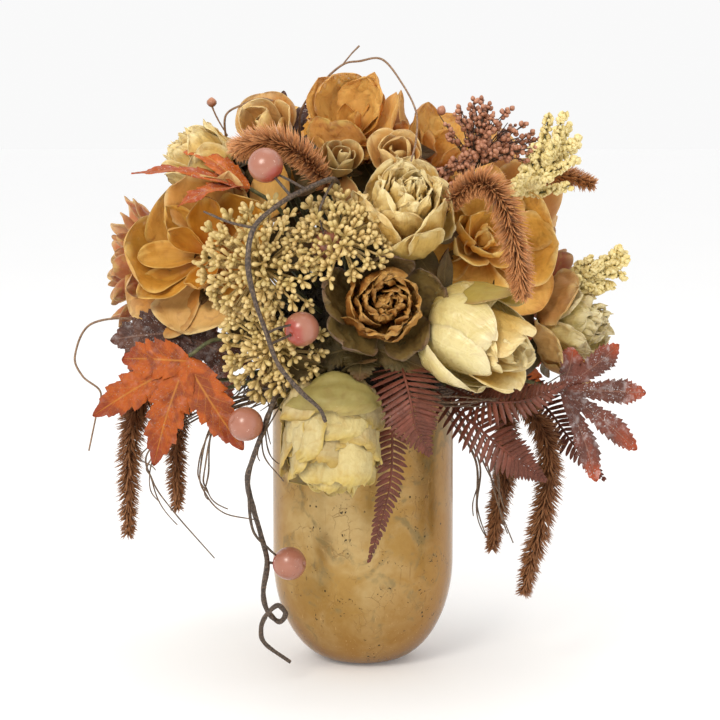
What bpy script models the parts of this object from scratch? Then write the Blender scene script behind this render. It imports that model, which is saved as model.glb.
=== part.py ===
"""Floral table centrepiece: a crackled gold glass vase holding an autumn arrangement.

Every length in this file is in millimetres until the last step, which writes metres.
The vase stands on Z = 0 around the Z axis, and the front of the arrangement faces -Y.
Each bloom, leafy stem, frond, seed head and vine is one closed solid with its own stem,
and every stem stands in its own hole in the foam that fills the vase.
"""

import math
import random
from collections import namedtuple

import bmesh
import bpy
from mathutils import Matrix, Vector
from mathutils.bvhtree import BVHTree

METRES = 0.001
UP = Vector((0.0, 0.0, 1.0))

VASE_RADIUS = 50.0
VASE_HEIGHT = 150.0
VASE_WALL = 2.6
VASE_BASE_RADIUS = 15.0
VASE_BASE_THICKNESS = 6.0
VASE_CORNER_WIDTH = 35.0
VASE_CORNER_HEIGHT = 57.0
VASE_SEGMENTS = 28

FOAM_GAP = 0.5
FOAM_TOP_CENTRE = 176.0
FOAM_LOWEST_STEM = 164.0
FOAM_SEGMENTS = 12

STEM_ROOT = 27.0
STEM_SPACING = 7.5
STEM_SIDES = 4
HOLE_GAP = 0.4

PIECE_GAP = 0.45
BLADE = 0.9
LEAF_BLADE = 1.1

Form = namedtuple("Form", "length width angles widths cup")
Ring = namedtuple("Ring", "rows radius height form")
Kind = namedtuple("Kind", "count depth rings")
Bloom = namedtuple("Bloom", "name kind centre size axis turn colour")
Leaf = namedtuple("Leaf", "name base tips width facing colour")
Fern = namedtuple("Fern", "name path length pairs facing")
Tail = namedtuple("Tail", "name path core spike pitch sides colour")
Umbel = namedtuple("Umbel", "name centre radius axis rays club colour")
Vine = namedtuple("Vine", "name path thickness twigs berries")

POINTED = (0.45, 0.9, 1.0, 0.8, 0.25)
ROUNDED = (0.4, 0.85, 1.0, 0.95, 0.5)
NARROW = (0.6, 1.0, 1.0, 0.7, 0.15)

# Each kind of bloom has a number of petals around, a depth, and rings of petals from the outer
# ring inward, for a bloom of size 1. The angles are how far a petal leans away from the axis of
# the bloom from its base to its tip, and the rings take turns over the facets of the core.
KINDS = {
    "magnolia": Kind(4, 1.0, (
        Ring(3, 0.22, 0.0, Form(1.35, 0.66, (86, 58, 20, 2, -8), ROUNDED, 80)),
        Ring(2, 0.20, 0.2, Form(0.95, 0.42, (55, 22, 0, -16, -30), ROUNDED, 100)),
    )),
    "globe_rose": Kind(4, 1.5, (
        Ring(3, 0.22, 0.0, Form(2.15, 0.74, (90, 66, 10, -25, -50), ROUNDED, 70)),
        Ring(2, 0.20, 0.25, Form(1.25, 0.42, (60, 15, -5, -25, -40), ROUNDED, 80)),
    )),
    "long_rose": Kind(4, 2.1, (
        Ring(3, 0.22, 0.0, Form(2.75, 0.86, (90, 62, 4, -10, -45), ROUNDED, 80)),
        Ring(2, 0.20, 0.4, Form(1.7, 0.46, (60, 12, -2, -15, -35), ROUNDED, 80)),
    )),
    "open_rose": Kind(5, 1.2, (
        Ring(3, 0.24, 0.0, Form(1.55, 0.72, (88, 66, 20, 18, 48), ROUNDED, 60)),
        Ring(2, 0.22, 0.22, Form(1.0, 0.5, (75, 30, 4, 2, 2), ROUNDED, 70)),
        Ring(2, 0.18, 0.4, Form(0.75, 0.3, (40, 8, 0, -4, -4), ROUNDED, 70)),
    )),
    "tulip": Kind(3, 1.9, (
        Ring(3, 0.22, 0.0, Form(2.4, 0.95, (88, 56, 4, -8, -12), POINTED, 85)),
        Ring(3, 0.18, 0.25, Form(1.85, 0.6, (72, 35, 0, -10, -24), POINTED, 90)),
    )),
    "fringed": Kind(5, 1.0, (
        Ring(2, 0.24, 0.0, Form(1.25, 0.30, (85, 50, 25, 25, 45), NARROW, 45)),
        Ring(2, 0.20, 0.2, Form(0.85, 0.18, (50, 30, 10, 5, 10), NARROW, 45)),
    )),
    "bud": Kind(3, 1.9, (
        Ring(2, 0.24, 0.0, Form(2.3, 0.9, (85, 42, 0, -14, -30), POINTED, 90)),
    )),
}
CORE_STEP = 0.13

CARAMEL = (0.62, 0.31, 0.09)
CREAM = (0.82, 0.76, 0.50)
TAN = (0.33, 0.19, 0.09)
CORAL = (0.75, 0.27, 0.13)
OLIVE = (0.30, 0.25, 0.10)
ORANGE_LEAF = (0.58, 0.14, 0.03)
BROWN_LEAF = (0.12, 0.06, 0.05)
BURGUNDY = (0.20, 0.07, 0.06)
COPPER = (0.42, 0.17, 0.09)
HEATHER = (0.74, 0.65, 0.32)
ROSE_BEAD = (0.45, 0.18, 0.12)
SEDUM = (0.70, 0.60, 0.38)
TWIG = (0.10, 0.06, 0.04)
GOLD = (0.60, 0.38, 0.14)
FOAM_GREEN = (0.12, 0.16, 0.08)

# The blooms seen from the front come first, and the blooms of the back follow them.
BLOOMS = (
    Bloom("tan_rose", "open_rose", (11, -92, 208), 23, (0.1, -0.97, 0.2), 20, TAN),
    Bloom("cream_tulip", "tulip", (58, -86, 191), 27, (0.72, -0.62, -0.3), 50, CREAM),
    Bloom("cream_rose_front", "long_rose", (-16, -84, 139), 27, (0.02, -0.3, -0.95), 0, CREAM),
    Bloom("cream_rose_mid", "globe_rose", (22, -76, 254), 24, (0.1, -0.7, 0.7), 10, CREAM),
    Bloom("magnolia_left", "magnolia", (-90, -54, 234), 44, (-0.5, -0.78, 0.35), 0, CARAMEL),
    Bloom("magnolia_right", "magnolia", (71, -44, 238), 38, (0.45, -0.8, 0.35), 36, CARAMEL),
    Bloom("magnolia_top", "magnolia", (-8, -30, 302), 33, (-0.12, -0.45, 0.9), 15, CARAMEL),
    Bloom("magnolia_top_right", "magnolia", (42, -6, 284), 33, (0.4, -0.3, 0.85), 70, CARAMEL),
    Bloom("amber_rosebud_top_left", "globe_rose", (-51, -24, 290), 20, (-0.5, -0.35, 0.8), 0, CARAMEL),
    Bloom("amber_bud_mid", "bud", (18, -52, 280), 9, (0.25, -0.6, 0.75), 30, CARAMEL),
    Bloom("green_bud", "bud", (-11, -55, 279), 7, (-0.1, -0.6, 0.8), 0, OLIVE),
    Bloom("cream_rose_right", "globe_rose", (111, -22, 188), 22, (0.88, -0.4, 0.15), 25, CREAM),
    Bloom("cream_rose_upper_left", "globe_rose", (-86, -6, 277), 19, (-0.75, -0.1, 0.65), 5, CREAM),
    Bloom("coral_bloom_left", "fringed", (-121, -2, 221), 34, (-0.95, -0.15, 0.1), 0, CORAL),
    Bloom("magnolia_back", "magnolia", (-34, 66, 264), 44, (-0.35, 0.72, 0.6), 12, CARAMEL),
    Bloom("magnolia_back_right", "magnolia", (72, 52, 246), 42, (0.65, 0.65, 0.4), 50, CARAMEL),
    Bloom("tan_rose_back", "globe_rose", (12, 94, 212), 30, (0.1, 0.98, 0.15), 0, TAN),
    Bloom("cream_rose_back_left", "globe_rose", (-90, 48, 218), 28, (-0.85, 0.52, 0.1), 30, CREAM),
    Bloom("cream_rose_back_low", "globe_rose", (-42, 88, 176), 28, (-0.3, 0.9, -0.3), 15, CREAM),
    Bloom("coral_bloom_right", "fringed", (98, 28, 204), 32, (0.95, 0.3, 0.05), 0, CORAL),
    Bloom("cream_rose_back_top", "globe_rose", (24, 44, 288), 25, (0.2, 0.5, 0.85), 0, CREAM),
)

LEAVES = (
    Leaf("maple_leaf_orange", (-92, -70, 176),
         ((-142, -62, 146), (-109, -76, 122), (-62, -80, 131), (-126, -60, 176)),
         11, (-0.15, -1, 0.25), ORANGE_LEAF),
    Leaf("maple_leaf_brown", (-98, -46, 188),
         ((-134, -46, 184), (-118, -42, 203), (-124, -42, 160), (-94, -42, 166)),
         9, (-0.4, -0.9, 0.3), BROWN_LEAF),
    Leaf("maple_leaf_upper_left", (-62, -42, 264),
         ((-122, -40, 272), (-98, -14, 284), (-96, -64, 256)),
         8, (-0.2, -0.6, 0.8), ORANGE_LEAF),
    Leaf("maple_leaf_top", (-46, 6, 282),
         ((-43, 4, 314), (-60, 2, 304), (-30, 4, 306)),
         6, (-0.1, -1, 0.3), BROWN_LEAF),
    Leaf("buckeye_leaf_right", (104, -52, 158),
         ((136, -44, 181), (150, -48, 156), (145, -52, 126), (123, -58, 110), (111, -46, 180)),
         9, (0.35, -0.9, 0.2), BROWN_LEAF),
    Leaf("rose_leaves", (0, -82, 186),
         ((-24, -86, 180), (-2, -98, 170), (34, -90, 174)),
         8, (0, -1, 0.4), OLIVE),
    Leaf("maple_leaf_back_orange", (84, 66, 168),
         ((128, 62, 150), (104, 84, 126), (62, 92, 128), (118, 50, 176)),
         11, (0.4, 0.9, 0.2), ORANGE_LEAF),
    Leaf("buckeye_leaf_back", (-86, 66, 176),
         ((-132, 58, 190), (-138, 62, 160), (-118, 76, 130), (-80, 88, 124)),
         9, (-0.4, 0.9, 0.2), BROWN_LEAF),
)

FERNS = (
    Fern("fern_front", ((18, -70, 178), (20, -92, 175), (24, -102, 160), (27, -101, 146), (34, -95, 132)),
         17, 12, (0.1, -1, 0.3)),
    Fern("fern_hanging",
         ((6, -56, 164), (14, -70, 158), (15, -80, 138), (14, -82, 114), (9, -80, 92), (3, -76, 71)),
         10, 12, (0.5, -1, 0.1)),
    Fern("fern_right", ((46, -56, 160), (62, -76, 156), (84, -84, 158), (103, -82, 166)),
         13, 10, (0.1, -1, 0.5)),
    Fern("fern_right_low", ((40, -52, 156), (56, -68, 144), (72, -74, 131), (84, -72, 122), (95, -68, 113)),
         14, 11, (0.1, -1, 0.4)),
    Fern("fern_far_right", ((80, -20, 160), (98, -34, 146), (112, -44, 128), (128, -50, 110)),
         12, 9, (0.2, -1, 0.4)),
    Fern("fern_back", ((20, 56, 160), (28, 84, 158), (32, 94, 138), (34, 92, 116), (36, 88, 98)),
         16, 11, (0.1, 1, 0.2)),
)

TAILS = (
    Tail("foxtail_arch", ((42, -68, 252), (49, -84, 264), (60, -97, 270), (70, -105, 260), (75, -109, 242),
                          (78, -109, 227), (80, -107, 214)), 2.8, 5.0, 7.8, 4, COPPER),
    Tail("foxtail_upper_left", ((-16, -60, 262), (-25, -72, 276), (-34, -80, 285), (-46, -83, 290),
                                (-57, -80, 289), (-65, -74, 285)), 2.6, 4.8, 7.8, 4, COPPER),
    Tail("foxtail_right", ((82, -14, 256), (98, -14, 268), (111, -14, 268), (124, -14, 264)),
         2.4, 4.2, 7.8, 4, COPPER),
    Tail("foxtail_hang_left", ((-84, -34, 160), (-106, -40, 162), (-118, -44, 152), (-123, -46, 136),
                               (-125, -46, 108), (-126, -44, 78)), 2.6, 4.6, 7.8, 4, COPPER),
    Tail("foxtail_hang_left_inner", ((-72, -44, 158), (-90, -50, 157), (-98, -52, 140), (-99, -52, 116),
                                     (-99, -50, 94)), 2.2, 4.0, 7.8, 4, COPPER),
    Tail("foxtail_hang_right_inner", ((62, -22, 158), (76, -28, 140), (78, -30, 116), (73, -30, 90),
                                      (70, -30, 67)), 2.3, 4.2, 7.8, 4, COPPER),
    Tail("foxtail_hang_right", ((66, -34, 158), (84, -41, 150), (96, -46, 134), (99, -49, 114),
                                (96, -50, 92), (91, -50, 70), (86, -48, 47)), 2.6, 4.8, 7.8, 4, COPPER),
    Tail("foxtail_back_left", ((-66, 44, 232), (-92, 74, 252), (-108, 88, 240), (-112, 92, 216)),
         2.6, 4.6, 7.6, 4, COPPER),
    Tail("foxtail_back_hang", ((58, 40, 158), (76, 60, 148), (82, 68, 124), (82, 68, 98), (78, 66, 74)),
         2.4, 4.4, 7.8, 4, COPPER),
    Tail("heather_right", ((76, -30, 256), (88, -40, 267), (97, -42, 280), (106, -42, 293)),
         3.0, 4.0, 7.0, 4, HEATHER),
    Tail("heather_right_low", ((100, -6, 212), (116, -14, 214), (128, -16, 217), (139, -17, 221)),
         2.2, 2.8, 6.6, 4, HEATHER),
)

UMBELS = (
    Umbel("sedum_left", (-60, -101, 228), 31, (-0.35, -0.92, 0.1), 6, 2.1, SEDUM),
    Umbel("sedum_mid", (-12, -98, 250), 23, (-0.05, -0.85, 0.5), 5, 2.1, SEDUM),
    Umbel("sedum_low", (-50, -97, 179), 27, (-0.3, -0.92, -0.25), 5, 2.1, SEDUM),
    Umbel("sedum_back", (52, 92, 196), 26, (0.4, 0.9, 0.1), 5, 2.1, SEDUM),
    Umbel("bead_spray_right", (66, -34, 292), 27, (0.35, -0.25, 0.9), 6, 2.6, ROSE_BEAD),
)

VINES = (
    Vine("vine_twig",
         ((-12, -62, 262), (-15, -84, 271), (-29, -98, 267), (-42, -108, 260), (-54, -116, 249),
          (-57, -121, 232), (-54, -121, 215), (-48, -120, 197), (-42, -119, 181), (-31, -116, 167),
          (-22, -113, 158), (-19, -111, 151)),
         1.5,
         (((-54, -116, 249), (-66, -118, 252), (-79, -114, 257)),
          ((-29, -98, 267), (-38, -98, 272), (-46, -98, 276)),
          ((-48, -120, 197), (-42, -114, 199), (-35, -108, 200)),
          ((-15, -84, 271), (-22, -92, 256), (-20, -94, 244))),
         ((-49, -97, 279), (-31, -105, 198), (-18, -94, 238))),
    Vine("vine_trailing",
         ((-30, -56, 166), (-40, -76, 170), (-45, -86, 160), (-50, -90, 146), (-56, -86, 130),
          (-60, -78, 115), (-58, -70, 100), (-54, -64, 83), (-51, -60, 67), (-53, -60, 51), (-51, -60, 41),
          (-45, -61, 35), (-41, -65, 40), (-45, -70, 46), (-51, -70, 41), (-54, -68, 33), (-52, -65, 24),
          (-39, -58, 12)),
         1.4,
         (((-60, -78, 115), (-58, -72, 88), (-50, -66, 76), (-44, -64, 70)),
          ((-50, -90, 146), (-54, -92, 148), (-58, -92, 148))),
         ((-39, -63, 67), (-60, -94, 147))),
)

# Thin curling tendrils, each standing in the foam on its own, and the beads on their ends.
TENDRILS = (
    Vine("tendril_left", ((-96, -8, 178), (-120, -24, 192), (-146, -26, 190), (-155, -26, 173),
                          (-151, -28, 162), (-141, -32, 154), (-143, -36, 142), (-147, -38, 123)),
         0.6, (), ()),
    Vine("tendril_top_left", ((-64, -10, 262), (-72, -4, 280), (-74, -12, 300), (-64, -15, 307),
                              (-55, -15, 310), (-48, -15, 309)), 0.6,
         (((-73, -8, 290), (-78, -12, 299), (-81, -14, 306)),), ((-81, -15, 308),)),
    Vine("tendril_top", ((-30, -4, 262), (-34, -8, 300), (-22, -16, 318), (-11, -20, 328),
                         (-2, -24, 330), (10, -32, 331), (20, -48, 319), (27, -64, 305),
                         (27, -78, 292), (24, -96, 281)), 0.6,
         (((-11, -20, 328), (-6, -16, 334), (-2, -14, 338)),), ()),
)
BERRY_RADIUS = 8.8
BEAD_RADIUS = 2.8

NEST_RING_RADIUS = 60.0
NEST_HEIGHT = 154.0
NEST_FACETS = 18
NEST_PIN_RADIUS = 1.2
NEST_BARE_SHARE = 0.55
NEST_STRANDS = (
    ((-50, -52, 158), (-84, -66, 150), (-112, -64, 128), (-111, -60, 111), (-101, -58, 95), (-79, -54, 68)),
    ((-46, -54, 156), (-76, -72, 146), (-85, -70, 118), (-82, -66, 104), (-73, -66, 95), (-56, -66, 91)),
    ((46, -48, 152), (62, -44, 118), (62, -30, 90), (70, -26, 66)),
    ((55, -44, 152), (66, -52, 118), (72, -54, 96), (80, -54, 76)),
)


def blend(values, share):
    """Read a row of values at a share from 0 to 1 of its length, with straight steps."""
    place = max(0.0, min(1.0, share)) * (len(values) - 1)
    index = min(int(place), len(values) - 2)
    rest = place - index
    return values[index] * (1.0 - rest) + values[index + 1] * rest


def smooth_path(points, count):
    """Return count points along a Catmull-Rom curve through the given points."""
    marks = [Vector(point) for point in points]
    ends = [marks[0] * 2 - marks[1]] + marks + [marks[-1] * 2 - marks[-2]]
    result = []
    for step in range(count):
        place = step / (count - 1) * (len(marks) - 1)
        index = min(int(place), len(marks) - 2)
        t = place - index
        p0, p1, p2, p3 = ends[index:index + 4]
        result.append(0.5 * ((2 * p1) + (p2 - p0) * t + (2 * p0 - 5 * p1 + 4 * p2 - p3) * t ** 2
                             + (3 * p1 - p0 - 3 * p2 + p3) * t ** 3))
    return result


def path_frames(points, heading=None):
    """Return a tangent and two side directions at each point, carried along without twist."""
    frames = []
    side = None
    for index, _ in enumerate(points):
        before = points[max(index - 1, 0)]
        after = points[min(index + 1, len(points) - 1)]
        tangent = (after - before).normalized()
        if heading is not None and index == len(points) - 1:
            tangent = heading
        if side is None:
            side = tangent.orthogonal().normalized()
        side = (side - tangent * side.dot(tangent)).normalized()
        frames.append((tangent, side, tangent.cross(side)))
    return frames


class Growth:
    """A closed mesh that grows: loops of corners are carried along paths and joined by faces."""

    def __init__(self):
        self.points = []
        self.faces = []

    def loop(self, places):
        """Add corners and return their numbers as a loop."""
        start = len(self.points)
        self.points += [Vector(place) for place in places]
        return list(range(start, len(self.points)))

    def band(self, low, high, turned=()):
        """Join two loops of the same length by triangles; turned edges take the other diagonal."""
        count = len(low)
        for index in range(count):
            a, b = low[index], low[(index + 1) % count]
            c, d = high[(index + 1) % count], high[index]
            if index in turned:
                self.faces += [(a, b, d), (b, c, d)]
            else:
                self.faces += [(a, b, c), (a, c, d)]

    def spread(self, low, high):
        """Return how far two loops lie apart when they are matched from their starts."""
        return sum((self.points[low[k * len(low) // len(high)]] - self.points[high[k]]).length_squared
                   for k in range(len(high)))

    def bridge(self, low, high):
        """Join two loops of different lengths by triangles along the shortest diagonals."""
        start = min(range(len(high)), key=lambda k: self.spread(low, high[k:] + high[:k]))
        high = high[start:] + high[:start]
        i, j = 0, 0
        while i < len(low) or j < len(high):
            here, there = low[i % len(low)], high[j % len(high)]
            low_next, high_next = low[(i + 1) % len(low)], high[(j + 1) % len(high)]
            step_low = (self.points[low_next] - self.points[there]).length
            step_high = (self.points[high_next] - self.points[here]).length
            if j == len(high) or (i < len(low) and step_low <= step_high):
                self.faces.append((here, low_next, there))
                i += 1
            else:
                self.faces.append((here, high_next, there))
                j += 1

    def cap(self, loop, peak=None):
        """Close the end of a loop with a peak, or flat."""
        if peak is None:
            self.faces += [(loop[0], loop[k], loop[k + 1]) for k in range(1, len(loop) - 1)]
            return []
        top = self.loop([peak])[0]
        fresh = [(loop[k], loop[(k + 1) % len(loop)], top) for k in range(len(loop))]
        self.faces += fresh
        return fresh

    def tube(self, points, radii, sides, heading=None):
        """Grow an open tube along the points from a closed start, and return its last loop."""
        last = None
        for index, (point, (_, side, other)) in enumerate(zip(points, path_frames(points, heading))):
            radius = blend(radii, index / (len(points) - 1))
            turns = [2 * math.pi * step / sides for step in range(sides)]
            ring = self.loop([point + (side * math.cos(turn) + other * math.sin(turn)) * radius
                              for turn in turns])
            if last is None:
                self.cap(list(reversed(ring)))
            else:
                self.band(last, ring)
            last = ring
        return last

    def sprout(self, face, course, sizes, peak=0.0):
        """Grow a branch out of a face along a course, and return the faces of its pointed end."""
        self.faces.remove(face)
        corners = [self.points[corner] for corner in face]
        centre = sum(corners, Vector((0, 0, 0))) / len(corners)
        normal = (corners[1] - corners[0]).cross(corners[2] - corners[0]).normalized()
        offsets = [(corner - centre).normalized() for corner in corners]
        last = list(face)
        previous = centre
        for point, size in zip(course, sizes):
            tangent = (point - previous).normalized()
            turn = normal.rotation_difference(tangent)
            offsets = [(turn @ offset).normalized() for offset in offsets]
            normal = tangent
            ring = self.loop([point + offset * size for offset in offsets])
            self.band(last, ring)
            last = ring
            previous = point
        return self.cap(last, previous + normal * (peak or sizes[-1]))

    def blade(self, face, rows, thickness):
        """Grow a blade out of a four-cornered facet through rows of left, middle and right points."""
        last = list(face)
        for index, (left, middle, right) in enumerate(rows):
            before = rows[max(index - 1, 0)]
            after = rows[min(index + 1, len(rows) - 1)]
            along = (after[1] - before[1]).normalized()
            if index == 0:
                along = (middle - sum((self.points[k] for k in face), Vector((0, 0, 0))) / 4).normalized()
            normals = [step.cross(along) for step in (middle - left, right - left, right - middle)]
            places = (left, middle, right)
            outer = [spot + normal.normalized() * thickness / 2 for spot, normal in zip(places, normals)]
            inner = [spot - normal.normalized() * thickness / 2 for spot, normal in zip(places, normals)]
            ring = self.loop(outer + inner[::-1])
            if index == 0:
                a, b, c, d = last
                left_out, middle_out, right_out, right_in, middle_in, left_in = ring
                self.faces += [(a, b, middle_out), (a, middle_out, left_out), (b, right_out, middle_out),
                               (b, c, right_in), (b, right_in, right_out), (c, d, middle_in),
                               (c, middle_in, right_in), (d, left_in, middle_in), (d, a, left_out),
                               (d, left_out, left_in)]
            else:
                self.band(last, ring, (1, 4))
            last = ring
        left_out, middle_out, right_out, right_in, middle_in, left_in = last
        self.faces += [(left_out, middle_out, middle_in), (left_out, middle_in, left_in),
                       (middle_out, right_out, right_in), (middle_out, right_in, middle_in)]

    def sheet(self, points, triangles, thickness, gate, facing=None):
        """Add a thin sheet as a blade, open along the edges between the gate points, for its stem."""
        normals = [Vector((0, 0, 0)) for _ in points]
        edges = set()
        for a, b, c in triangles:
            normal = (points[b] - points[a]).cross(points[c] - points[a])
            for corner in (a, b, c):
                normals[corner] += normal
            edges |= {(a, b), (b, c), (c, a)}
        if facing is not None:
            normals = [facing for _ in points]
        half = thickness / 2
        upper = self.loop([point + normal.normalized() * half for point, normal in zip(points, normals)])
        lower = self.loop([point - normal.normalized() * half for point, normal in zip(points, normals)])
        for a, b, c in triangles:
            self.faces.append((upper[a], upper[b], upper[c]))
            self.faces.append((lower[c], lower[b], lower[a]))
        gates = set(zip(gate, gate[1:]))
        for start, end in sorted(edges):
            if (end, start) not in edges and (start, end) not in gates:
                self.faces.append((upper[end], upper[start], lower[start]))
                self.faces.append((upper[end], lower[start], lower[end]))
        return [lower[index] for index in reversed(gate)] + [upper[index] for index in gate]

    def solid(self):
        """Return the points and faces."""
        return self.points, self.faces


def tube(points, radii, sides):
    """Return a closed tube along points whose radius runs through the given radii."""
    growth = Growth()
    growth.cap(growth.tube(points, radii, sides))
    return growth.solid()


def ball(centre, radius, segments=8, rings=5, axis=UP):
    """Return a closed faceted ball."""
    side = Vector(axis).orthogonal().normalized()
    other = Vector(axis).normalized().cross(side)
    centre = Vector(centre)
    growth = Growth()
    last = None
    for ring in range(1, rings):
        rise = -math.pi / 2 + math.pi * ring / rings
        turns = [2 * math.pi * (step + 0.5 * ring) / segments for step in range(segments)]
        lift = Vector(axis).normalized() * math.sin(rise) * radius
        loop = growth.loop([centre + lift + (side * math.cos(turn) + other * math.sin(turn))
                            * math.cos(rise) * radius for turn in turns])
        if last is None:
            growth.cap(list(reversed(loop)), centre - Vector(axis).normalized() * radius)
        else:
            growth.band(last, loop, range(segments))
        last = loop
    growth.cap(last, centre + Vector(axis).normalized() * radius)
    return growth.solid()


def bloom_frame(bloom):
    """Return the matrix that places a bloom: its base is the origin and its axis is Z."""
    axis = Vector(bloom.axis).normalized()
    side = axis.cross(UP if abs(axis.z) < 0.9 else Vector((0, 1, 0))).normalized()
    rotation = Matrix((side, axis.cross(side), axis)).transposed().to_4x4()
    base = Vector(bloom.centre) - axis * bloom.size * KINDS[bloom.kind].depth * 0.5
    return Matrix.Translation(base) @ rotation


def petal_rows(ring, size, turn, count):
    """Return the rows of one petal, each with a left, middle and right point, in its bloom's frame."""
    form = ring.form
    radial = Vector((math.cos(turn), math.sin(turn), 0))
    across = Vector((-math.sin(turn), math.cos(turn), 0))
    point = radial * ring.radius * size + UP * ring.height * size
    fine = 4 * ring.rows
    rows = []
    for step in range(fine):
        lean = math.radians(blend(form.angles, (step + 0.5) / fine))
        point += (UP * math.cos(lean) + radial * math.sin(lean)) * form.length * size / fine
        if step % 4 == 3:
            share = (step + 1) / fine
            lean = math.radians(blend(form.angles, share))
            inward = UP * math.sin(lean) - radial * math.cos(lean)
            half = form.width * size * blend(form.widths, share)
            arc = math.radians(form.cup) / 2
            for _ in range(30):
                bow = half / arc
                edge = point + across * bow * math.sin(arc) + inward * bow * (1 - math.cos(arc))
                if edge.dot(across) < edge.dot(radial) * math.tan(math.pi / count) * 0.97 - 0.5:
                    break
                half *= 0.93
            side = across * bow * math.sin(arc)
            fold = inward * bow * (1 - math.cos(arc))
            rows.append((point - side + fold, point.copy(), point + side + fold))
    return rows


def grow_bloom(bloom, stem):
    """Return a bloom with its stem: the stem widens into a core whose facets carry the petals."""
    kind = KINDS[bloom.kind]
    frame = bloom_frame(bloom)
    growth = Growth()
    neck = growth.tube(stem, (1.5, 1.5), STEM_SIDES, Vector(bloom.axis).normalized())
    corners = 2 * kind.count
    levels = len(kind.rings) + 1
    last = None
    for level in range(levels):
        height = bloom.size * (CORE_STEP * level + 0.02 * level)
        radius = bloom.size * (0.22 - 0.02 * level)
        turns = [math.radians(bloom.turn) + math.pi * (step - 0.5) / kind.count for step in range(corners)]
        loop = growth.loop([frame @ Vector((radius * math.cos(turn), radius * math.sin(turn), height))
                            for turn in turns])
        if last is None:
            growth.bridge(neck, loop)
        else:
            ring = kind.rings[level - 1]
            for step in range(corners):
                after = (step + 1) % corners
                facet = (last[step], last[after], loop[after], loop[step])
                if (step + level) % 2:
                    turn = math.radians(bloom.turn) + math.pi * step / kind.count
                    rows = petal_rows(ring, bloom.size, turn, kind.count)
                    growth.blade(facet, [[frame @ point for point in row] for row in rows], BLADE)
                else:
                    growth.faces += [(facet[0], facet[1], facet[2]), (facet[0], facet[2], facet[3])]
        last = loop
    growth.cap(last, frame @ Vector((0, 0, bloom.size * (CORE_STEP * levels + 0.08))))
    return growth.solid()


def leaf_sheet(leaf):
    """Return the points, triangles and gate of a lobed, toothed leaf made of one sheet."""
    base = Vector(leaf.base)
    facing = Vector(leaf.facing).normalized()
    runs = [Vector(tip) - base for tip in leaf.tips]
    middle = sum(runs, Vector((0, 0, 0)))
    middle = (middle - facing * middle.dot(facing)).normalized()
    across = middle.cross(facing)
    turns = {tuple(run): math.atan2(run.dot(across), run.dot(middle)) for run in runs}
    runs.sort(key=lambda run: turns[tuple(run)])
    ends = [min(1.2, 2.2 - abs(turns[tuple(run)])) for run in (runs[0], runs[-1])]
    gaps = [(turns[tuple(second)] - turns[tuple(first)]) / 2 for first, second in zip(runs, runs[1:])]
    gaps = ends[:1] + gaps + ends[1:]
    first_side = runs[0].cross(facing).normalized()
    last_side = runs[-1].cross(facing).normalized()
    points = [base, base - (first_side + across).normalized() * 2.4]
    for first, second in zip(runs, runs[1:]):
        flat = [run - facing * run.dot(facing) for run in (first, second)]
        split = (flat[0].normalized() + flat[1].normalized()).normalized()
        points.append(base + split * min(leaf.width * 0.62, 0.2 * min(flat[0].length, flat[1].length)))
    points.append(base + (last_side + across).normalized() * 2.4)
    triangles = []
    for index, run in enumerate(runs):
        side = run.cross(facing).normalized()
        flat = run - facing * run.dot(facing)
        row = (1 + index, 0, 2 + index)
        for step, (share, width) in enumerate(((0.3, 0.7), (0.52, 1.0), (0.72, 0.72), (0.86, 0.36))):
            spot = base + run * share + facing * math.sin(math.pi * share) * run.length * 0.08
            room = flat.length * share
            left = min(leaf.width * width, room * math.tan(gaps[index]) * 0.9 - 0.6)
            right = min(leaf.width * width, room * math.tan(gaps[index + 1]) * 0.9 - 0.6)
            sweep = flat.normalized() * (2.2 if step in (1, 3) else -0.6)
            points += [spot - side * left + facing * left * 0.15 + sweep, spot,
                       spot + side * right + facing * right * 0.15 + sweep]
            fresh = (len(points) - 3, len(points) - 2, len(points) - 1)
            triangles += [(row[0], row[1], fresh[0]), (row[1], fresh[1], fresh[0]),
                          (row[1], row[2], fresh[2]), (row[1], fresh[2], fresh[1])]
            row = fresh
        points.append(base + run)
        triangles += [(row[0], row[1], len(points) - 1), (row[1], row[2], len(points) - 1)]
    return points, triangles, (1, 0, len(runs) + 1)


def fern_sheet(fern):
    """Return the points, triangles and gate of a frond: a slim rib with a leaflet on each side."""
    path = smooth_path(fern.path, 2 * fern.pairs + 1)
    facing = Vector(fern.facing).normalized()
    points = []
    triangles = []
    for index in range(fern.pairs + 1):
        spot = path[2 * index]
        ahead = path[min(2 * index + 2, len(path) - 1)] - path[max(2 * index - 2, 0)]
        across = ahead.cross(facing).normalized()
        rib = 0.9 - 0.4 * index / fern.pairs
        points += [spot - across * rib, spot + across * rib]
    for index in range(fern.pairs):
        left, right = 2 * index, 2 * index + 1
        triangles += [(left, right, right + 2), (left, right + 2, left + 2)]
        if index < 1:
            continue
        reach = fern.length * blend((0.5, 1.0, 0.95, 0.7, 0.25), (index + 0.5) / fern.pairs)
        ahead = (points[left + 2] - points[left]).normalized()
        across = ahead.cross(facing).normalized()
        middle = (points[left] + points[right + 2]) / 2
        lean = ahead * reach * 0.35 - facing * reach * 0.12
        points.append(middle - across * reach + lean)
        triangles.append((left, left + 2, len(points) - 1))
        points.append(middle + across * reach + lean)
        triangles.append((right, len(points) - 1, right + 2))
    return points, triangles, (0, 1)


def grow_blade(sheet, piece, thickness, facing=None):
    """Return a leaf or a frond with its stem."""
    points, triangles, gate = sheet
    growth = Growth()
    neck = growth.tube(piece.stem, (piece.radius, piece.radius), STEM_SIDES, piece.heading)
    loop = growth.sheet(points, triangles, thickness, gate, facing)
    growth.bridge(neck, loop)
    return growth.solid()


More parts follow.
